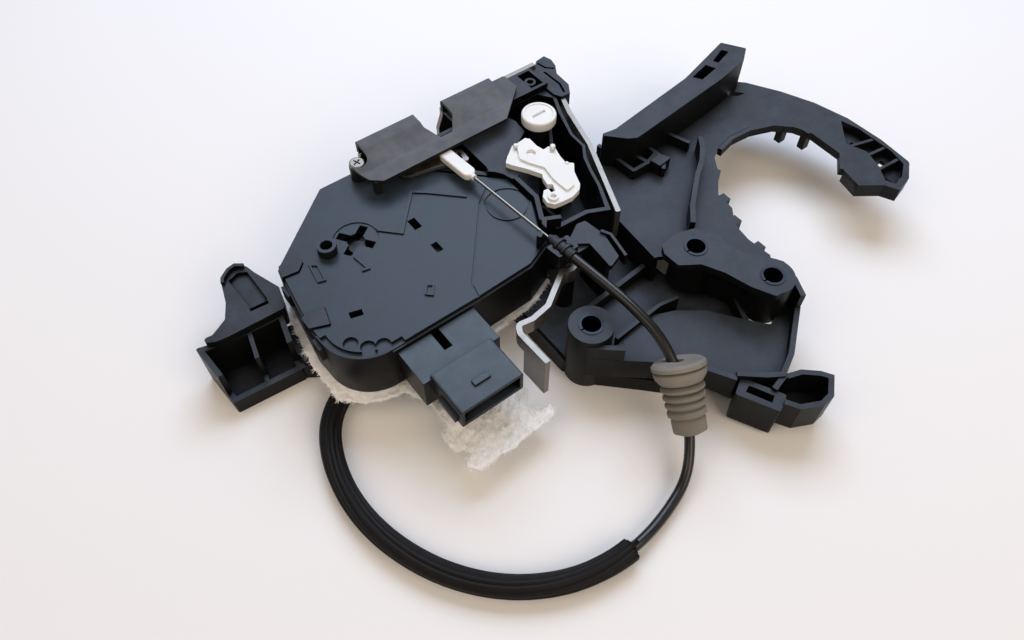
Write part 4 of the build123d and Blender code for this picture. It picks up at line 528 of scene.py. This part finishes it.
class LATCH_OT_release_cable(bpy.types.Operator):
    """Make the release cable's sheath and its soft ridged sleeve"""

    bl_idname = "latch.release_cable"
    bl_label = "Release cable"

    def execute(self, context):
        scene = context.scene
        sizes, colours = scene.latch_sizes, scene.latch_colours

        curve = route_curve("release_cable")
        curve.bevel_depth = sizes.sheath / 2
        curve.bevel_resolution = 5
        curve.use_fill_caps = True
        cable = bpy.data.objects.new("release_cable", curve)
        scene.collection.objects.link(cable)
        # Extruded polypropylene: a smooth black skin with a soft long highlight
        skin = moulded("extruded_polypropylene", colours.sheath, 0.3, 1.5, 0.1, specular=0.5)
        cable.data.materials.append(skin)
        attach(cable, "base")
        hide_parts("cable_sheath")

        line = route_line()
        covered = line[nearest(line, SLEEVE_FIRST):nearest(line, SLEEVE_LAST) + 1]
        # Soft vinyl, extruded: dusty black, with fine rings across it
        vinyl = extruded_tube("soft_vinyl_sleeve", colours.sleeve, 0.55, 0.7, 0.5)
        sleeve = link("cable_cover_sleeve", self.sleeve(covered, sizes), vinyl, "base")
        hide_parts("cable_sleeve")
        thickness = sleeve.modifiers.new("Wall", "SOLIDIFY")
        thickness.thickness = sizes.sleeve_wall
        thickness.offset = -1

        return {"FINISHED"}

    def sleeve(self, line, sizes):
        """A ridged tube along the line, mapped along and around, with two corners at its first end."""
        form = bmesh.new()
        mapping = form.loops.layers.uv.new("tube")
        rings = []
        travelled = 0.0
        side = Vector((0, 0, 1))
        distances = []
        for index, centre in enumerate(line):
            ahead = line[min(index + 1, len(line) - 1)] - line[max(index - 1, 0)]
            ahead.normalize()
            across = side.cross(ahead).normalized()
            up = ahead.cross(across)
            place = Matrix((across, up, ahead)).transposed().to_4x4()
            place.translation = centre
            made = bmesh.ops.create_circle(form, segments=SLEEVE_SEGMENTS, radius=sizes.sleeve / 2,
                                            matrix=place)
            ring = made["verts"]
            if index:
                travelled += (centre - line[index - 1]).length
            distances.append(travelled)
            roll = SLEEVE_TWIST * math.sin(travelled / SLEEVE_TWIST_LENGTH)
            for step, vertex in enumerate(ring):
                angle = 2 * math.pi * step / SLEEVE_SEGMENTS + roll
                dip = sizes.sleeve_ridge * (0.5 - 0.5 * math.cos(SLEEVE_RIDGES * angle)) ** 4
                vertex.co += (centre - vertex.co).normalized() * dip
                if index == 0:
                    vertex.co -= ahead * sizes.sleeve_corner * max(0.0, math.cos(2 * angle)) ** 6
            rings.append(ring)
        for near, far in zip(rings, rings[1:]):
            edges = [e for ring in (near, far) for v in ring for e in v.link_edges if e.other_vert(v) in ring]
            bmesh.ops.bridge_loops(form, edges=list(set(edges)))
        where = {v: (d, s / SLEEVE_SEGMENTS) for ring, d in zip(rings, distances) for s, v in enumerate(ring)}
        for face in form.faces:
            for loop in face.loops:
                distance, turn = where[loop.vert]
                loop[mapping].uv = (distance, turn * math.pi * sizes.sleeve)
        bmesh.ops.recalc_face_normals(form, faces=form.faces)
        mesh = as_mesh(form, "cable_cover_sleeve")
        shade_smooth(mesh)
        return mesh


class LATCH_OT_felt(bpy.types.Operator):
    """Make the needled felt pad, and the loose fibres along its edge"""

    bl_idname = "latch.felt"
    bl_label = "Felt pad"

    def execute(self, context):
        scene = context.scene
        sizes, colours = scene.latch_sizes, scene.latch_colours
        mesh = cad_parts["felt_pad"].data.copy()
        mesh.name = "felt"
        form = bmesh.new()
        form.from_mesh(mesh)
        bmesh.ops.remove_doubles(form, verts=form.verts, dist=0.01 * MM)
        form.to_mesh(mesh)
        form.free()
        # Needled polyester felt: white tufts that catch the light
        material = needled_felt("needled_polyester_felt", colours.felt)
        pad = link("felt", mesh, material, "base")
        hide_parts("felt_pad")
        pattern = self.pattern()
        trim = pad.modifiers.new("Cut to the pattern", "BOOLEAN")
        trim.operation = "INTERSECT"
        trim.solver = "EXACT"
        trim.object = pattern
        cut = self.baked(context, pad)
        grid = pad.modifiers.new("Even mesh", "REMESH")
        grid.mode = "VOXEL"
        grid.voxel_size = FELT_GRID_MM * MM
        for name, width, height in FELT_RELIEF:
            cloud = bpy.data.textures.new(name, "CLOUDS")
            cloud.noise_scale = width * MM
            push = pad.modifiers.new(name, "DISPLACE")
            push.texture = cloud
            push.texture_coords = "LOCAL"
            push.strength = height * MM
            push.mid_level = 0.6
        baked = self.baked(context, pad)
        pad.modifiers.clear()
        pad.data = baked
        bpy.data.objects.remove(pattern)
        baked.materials.clear()
        baked.materials.append(material)
        shade_smooth(baked)
        fibres = link("felt_fibres", self.fibres(baked, sizes.felt_fibre), material, "base")
        return {"FINISHED"}

    def pattern(self):
        """The outline that the felt is cut to, as a block that reaches above and below it."""
        form = bmesh.new()
        corners = [form.verts.new((x * MM, y * MM, 5 * MM)) for x, y in FELT_PATTERN]
        face = form.faces.new(corners)
        raised = bmesh.ops.extrude_face_region(form, geom=[face])
        tops = [v for v in raised["geom"] if isinstance(v, bmesh.types.BMVert)]
        bmesh.ops.translate(form, verts=tops, vec=(0, 0, 15 * MM))
        bmesh.ops.recalc_face_normals(form, faces=form.faces)
        block = bpy.data.objects.new("felt_pattern", as_mesh(form, "felt_pattern"))
        bpy.context.scene.collection.objects.link(block)
        return block

    def baked(self, context, piece):
        """The piece's mesh with its modifiers worked in."""
        context.view_layer.update()
        return bpy.data.meshes.new_from_object(piece.evaluated_get(context.evaluated_depsgraph_get()))

    def fibres(self, baked, length):
        """Short curved fibres, each a folded strip of two faces."""
        picker = random.Random(FIBRE_SEED)
        form = bmesh.new()
        verts, normals = baked.vertices, [v.normal.copy() for v in baked.vertices]
        for _ in range(FIBRE_TRIES):
            index = picker.randrange(len(verts))
            root, out = verts[index].co, normals[index]
            edge_on = abs(out.z) < 0.6
            loose_end = root.y < LOOSE_END_MM * MM
            if not (edge_on or loose_end) or out.z < -0.3:
                continue
            reach = length * picker.uniform(0.3, 1.0)
            sway = Vector((picker.uniform(-1, 1), picker.uniform(-1, 1), picker.uniform(-0.4, 0.5)))
            middle = root + (out + 0.5 * sway).normalized() * reach * 0.5
            tip = middle + (out + 1.6 * sway).normalized() * reach * 0.5
            tip.z = max(tip.z, FIBRE_LOWEST_MM * MM)
            width = sway.cross(out).normalized() * FIBRE_HALF_WIDTH_MM * MM
            places = (root - width, root + width, middle + width, middle - width, tip)
            corners = [form.verts.new(place) for place in places]
            form.faces.new(corners[:4])
            form.faces.new((corners[3], corners[2], corners[4]))
        return as_mesh(form, "felt_fibres")


class LATCH_OT_carrier(bpy.types.Operator):
    """Finish the carrier bracket, its steel bushes and its clip"""

    bl_idname = "latch.carrier"
    bl_label = "Carrier and bushes"

    def execute(self, context):
        sizes, colours = context.scene.latch_sizes, context.scene.latch_colours
        # Glass-filled nylon, moulded: black with a painted blue-grey sheen on its level faces, painted shade
        # left in its recesses, and a fine spark-eroded grain
        finish(moulded("glass_filled_nylon_moulded", colours.carrier, 0.42, 0.5, 0.35,
                       painted_sheen=colours.carrier_painted_sheen, recess_mm=12),
               "carrier_bracket", rounding=sizes.edge_round)
        # Acetal copolymer, moulded: smooth and black, with the carrier's painted sheen on its level faces
        finish(moulded("black_acetal_moulded", colours.case, 0.38, 0.8, 0.2, painted_sheen=colours.carrier_painted_sheen),
               "cable_clip", "cable_ferrule", rounding=sizes.edge_round * 0.6)
        # Rolled steel strip, phosphated: dark blue-grey with a soft edge shine
        finish(plated("phosphated_steel_rolled", colours.bush, 0.36), "compression_bush_1",
               "compression_bush_2", "compression_bush_3")
        return {"FINISHED"}


class LATCH_OT_case(bpy.types.Operator):
    """Finish the actuator case, the latch frame, the shield and the plug socket"""

    bl_idname = "latch.case"
    bl_label = "Case, frame and socket"

    def execute(self, context):
        sizes, colours = context.scene.latch_sizes, context.scene.latch_colours
        # Nylon, moulded: plain black walls, with the carrier's painted sheen on level faces and painted shade
        # left in recesses
        black = moulded("black_nylon_moulded", colours.case, 0.4, 0.6, 0.25,
                        painted_sheen=colours.carrier_painted_sheen, recess_mm=10)
        finish(black, "rear_case", "latch_frame", rounding=sizes.edge_round)
        # Polypropylene with talc, moulded: satin black with a painted blue-grey sheen on its level faces
        finish(moulded("talc_filled_polypropylene_moulded", colours.cover, 0.38, 0.45, 0.3, specular=0.24,
                       painted_sheen=colours.cover_painted_sheen),
               "front_cover", rounding=sizes.edge_round * 0.7)
        # Polypropylene, moulded with a matte texture: black, with a painted neutral grey sheen on its level
        # faces
        finish(moulded("textured_polypropylene_moulded", colours.shield, 0.5, 0.35, 0.5,
                       painted_sheen=colours.shield_painted_sheen),
               "latch_shield", rounding=sizes.edge_round)
        # Polybutylene terephthalate, moulded: smooth black with a painted blue-grey sheen on its level faces,
        # painted shade left in recesses
        finish(moulded("pbt_moulded", colours.connector, 0.34, 0.5, 0.2, specular=0.2,
                       painted_sheen=colours.connector_painted_sheen, recess_mm=14),
               "connector_housing", rounding=sizes.edge_round)
        # Rubber, moulded: warm grey with a powdery bloom, and painted shade that darkens the folds
        finish(bellows_rubber("epdm_rubber_moulded", colours.grommet), "cable_grommet")
        finish(black, "catch_jacket", "drive_gear", "microswitch_1", "microswitch_2")
        return {"FINISHED"}


class LATCH_OT_steel(bpy.types.Operator):
    """Finish the steel plates, pins, springs, motor and terminals"""

    bl_idname = "latch.steel"
    bl_label = "Steel parts"

    def execute(self, context):
        sizes, colours = context.scene.latch_sizes, context.scene.latch_colours
        # Steel strip, pressed and zinc-plated: pale warm grey with a cloudy bloom
        zinc = plated("zinc_plated_steel_pressed", colours.zinc, 0.42)
        finish(zinc, "face_plate", "backing_plate", "outside_release_lever", "inside_release_lever",
               rounding=sizes.pressed_round)
        finish(zinc, "case_screws", "shield_screw", "catch_pin", "pawl_pin", "motor", "cable_nipple",
               "terminal_pins", "gear_pin")
        # Case-hardened steel, fine-blanked: grey with a dull edge
        finish(plated("hardened_steel_blanked", colours.dark_steel, 0.38), "catch", "pawl")
        # Music wire, drawn: bright and smooth
        finish(plated("music_wire_drawn", colours.zinc, 0.25, stain=0.1), "catch_spring", "pawl_spring",
               "inner_wire")
        # Brass, machined: yellow with fine turning lines
        finish(plated("brass_machined", colours.brass, 0.3, stain=0.1), "motor_worm")
        return {"FINISHED"}


class LATCH_OT_white_parts(bpy.types.Operator):
    """Finish the white cap, lever and bead, and make the lever's pegs"""

    bl_idname = "latch.white_parts"
    bl_label = "White parts"

    def execute(self, context):
        sizes, colours = context.scene.latch_sizes, context.scene.latch_colours
        # Natural acetal, moulded: milky white, and light passes a little way in
        white = moulded("natural_acetal_moulded", colours.white, 0.42, 0.9, 0.15, specular=0.3, patch=0.04)
        shader = next(n for n in white.node_tree.nodes if n.type == "BSDF_PRINCIPLED")
        shader.inputs["Subsurface Weight"].default_value = 0.25
        shader.inputs["Subsurface Scale"].default_value = 1.0 * MM
        finish(white, "override_cap", "lock_lever", "cable_bead", rounding=sizes.edge_round)
        link("lock_lever_lugs", self.lugs(sizes.lug), white, "lock_body")
        return {"FINISHED"}

    def lugs(self, width):
        """Three short pegs over the lever, with their feet a little under its highest face."""
        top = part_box("lock_lever")[1][2]
        form = bmesh.new()
        for x, y, share, tall in LUGS:
            place = Matrix.Translation((x * MM, y * MM, top + (tall / 2 - LUG_FOOT_MM) * MM))
            peg = bmesh.ops.create_cone(form, cap_ends=True, segments=20, radius1=share * width / 2,
                                        radius2=share * width / 2 * LUG_TAPER, depth=tall * MM, matrix=place)
            rim = [e for e in form.edges if e.verts[0] in peg["verts"] and min(v.co.z for v in e.verts) > top]
            bmesh.ops.bevel(form, geom=rim, offset=LUG_ROUND_MM * MM, segments=2, profile=0.5,
                            affect="EDGES", material=-1)
        mesh = as_mesh(form, "lock_lever_lugs")
        shade_smooth(mesh)
        return mesh


class LATCH_PT_panel(bpy.types.Panel):
    """Lists the steps and the sizes and colours that they use"""

    bl_idname = "LATCH_PT_panel"
    bl_label = "Door latch"
    bl_space_type = "VIEW_3D"
    bl_region_type = "UI"
    bl_category = "Door latch"

    def draw(self, context):
        layout = self.layout
        for step in STEPS:
            layout.operator(step.bl_idname)
        for group in (context.scene.latch_sizes, context.scene.latch_colours):
            box = layout.box()
            for name in group.__annotations__:
                box.prop(group, name)


STEPS = (
    LATCH_OT_stage,
    LATCH_OT_release_cable,
    LATCH_OT_felt,
    LATCH_OT_carrier,
    LATCH_OT_case,
    LATCH_OT_steel,
    LATCH_OT_white_parts,
)
CLASSES = (LatchSizes, LatchColours, *STEPS, LATCH_PT_panel)


def register():
    """Adds the classes and the scene's groups of sizes and colours."""
    for item in CLASSES:
        bpy.utils.register_class(item)
    bpy.types.Scene.latch_sizes = bpy.props.PointerProperty(type=LatchSizes)
    bpy.types.Scene.latch_colours = bpy.props.PointerProperty(type=LatchColours)


def unregister():
    """Takes the classes and the groups away again."""
    del bpy.types.Scene.latch_colours
    del bpy.types.Scene.latch_sizes
    for item in reversed(CLASSES):
        bpy.utils.unregister_class(item)


def main():
    """Runs the steps in order."""
    register()
    bpy.ops.latch.stage()
    bpy.ops.latch.release_cable()
    bpy.ops.latch.felt()
    bpy.ops.latch.carrier()
    bpy.ops.latch.case()
    bpy.ops.latch.steel()
    bpy.ops.latch.white_parts()


if __name__ == "__main__":
    main()
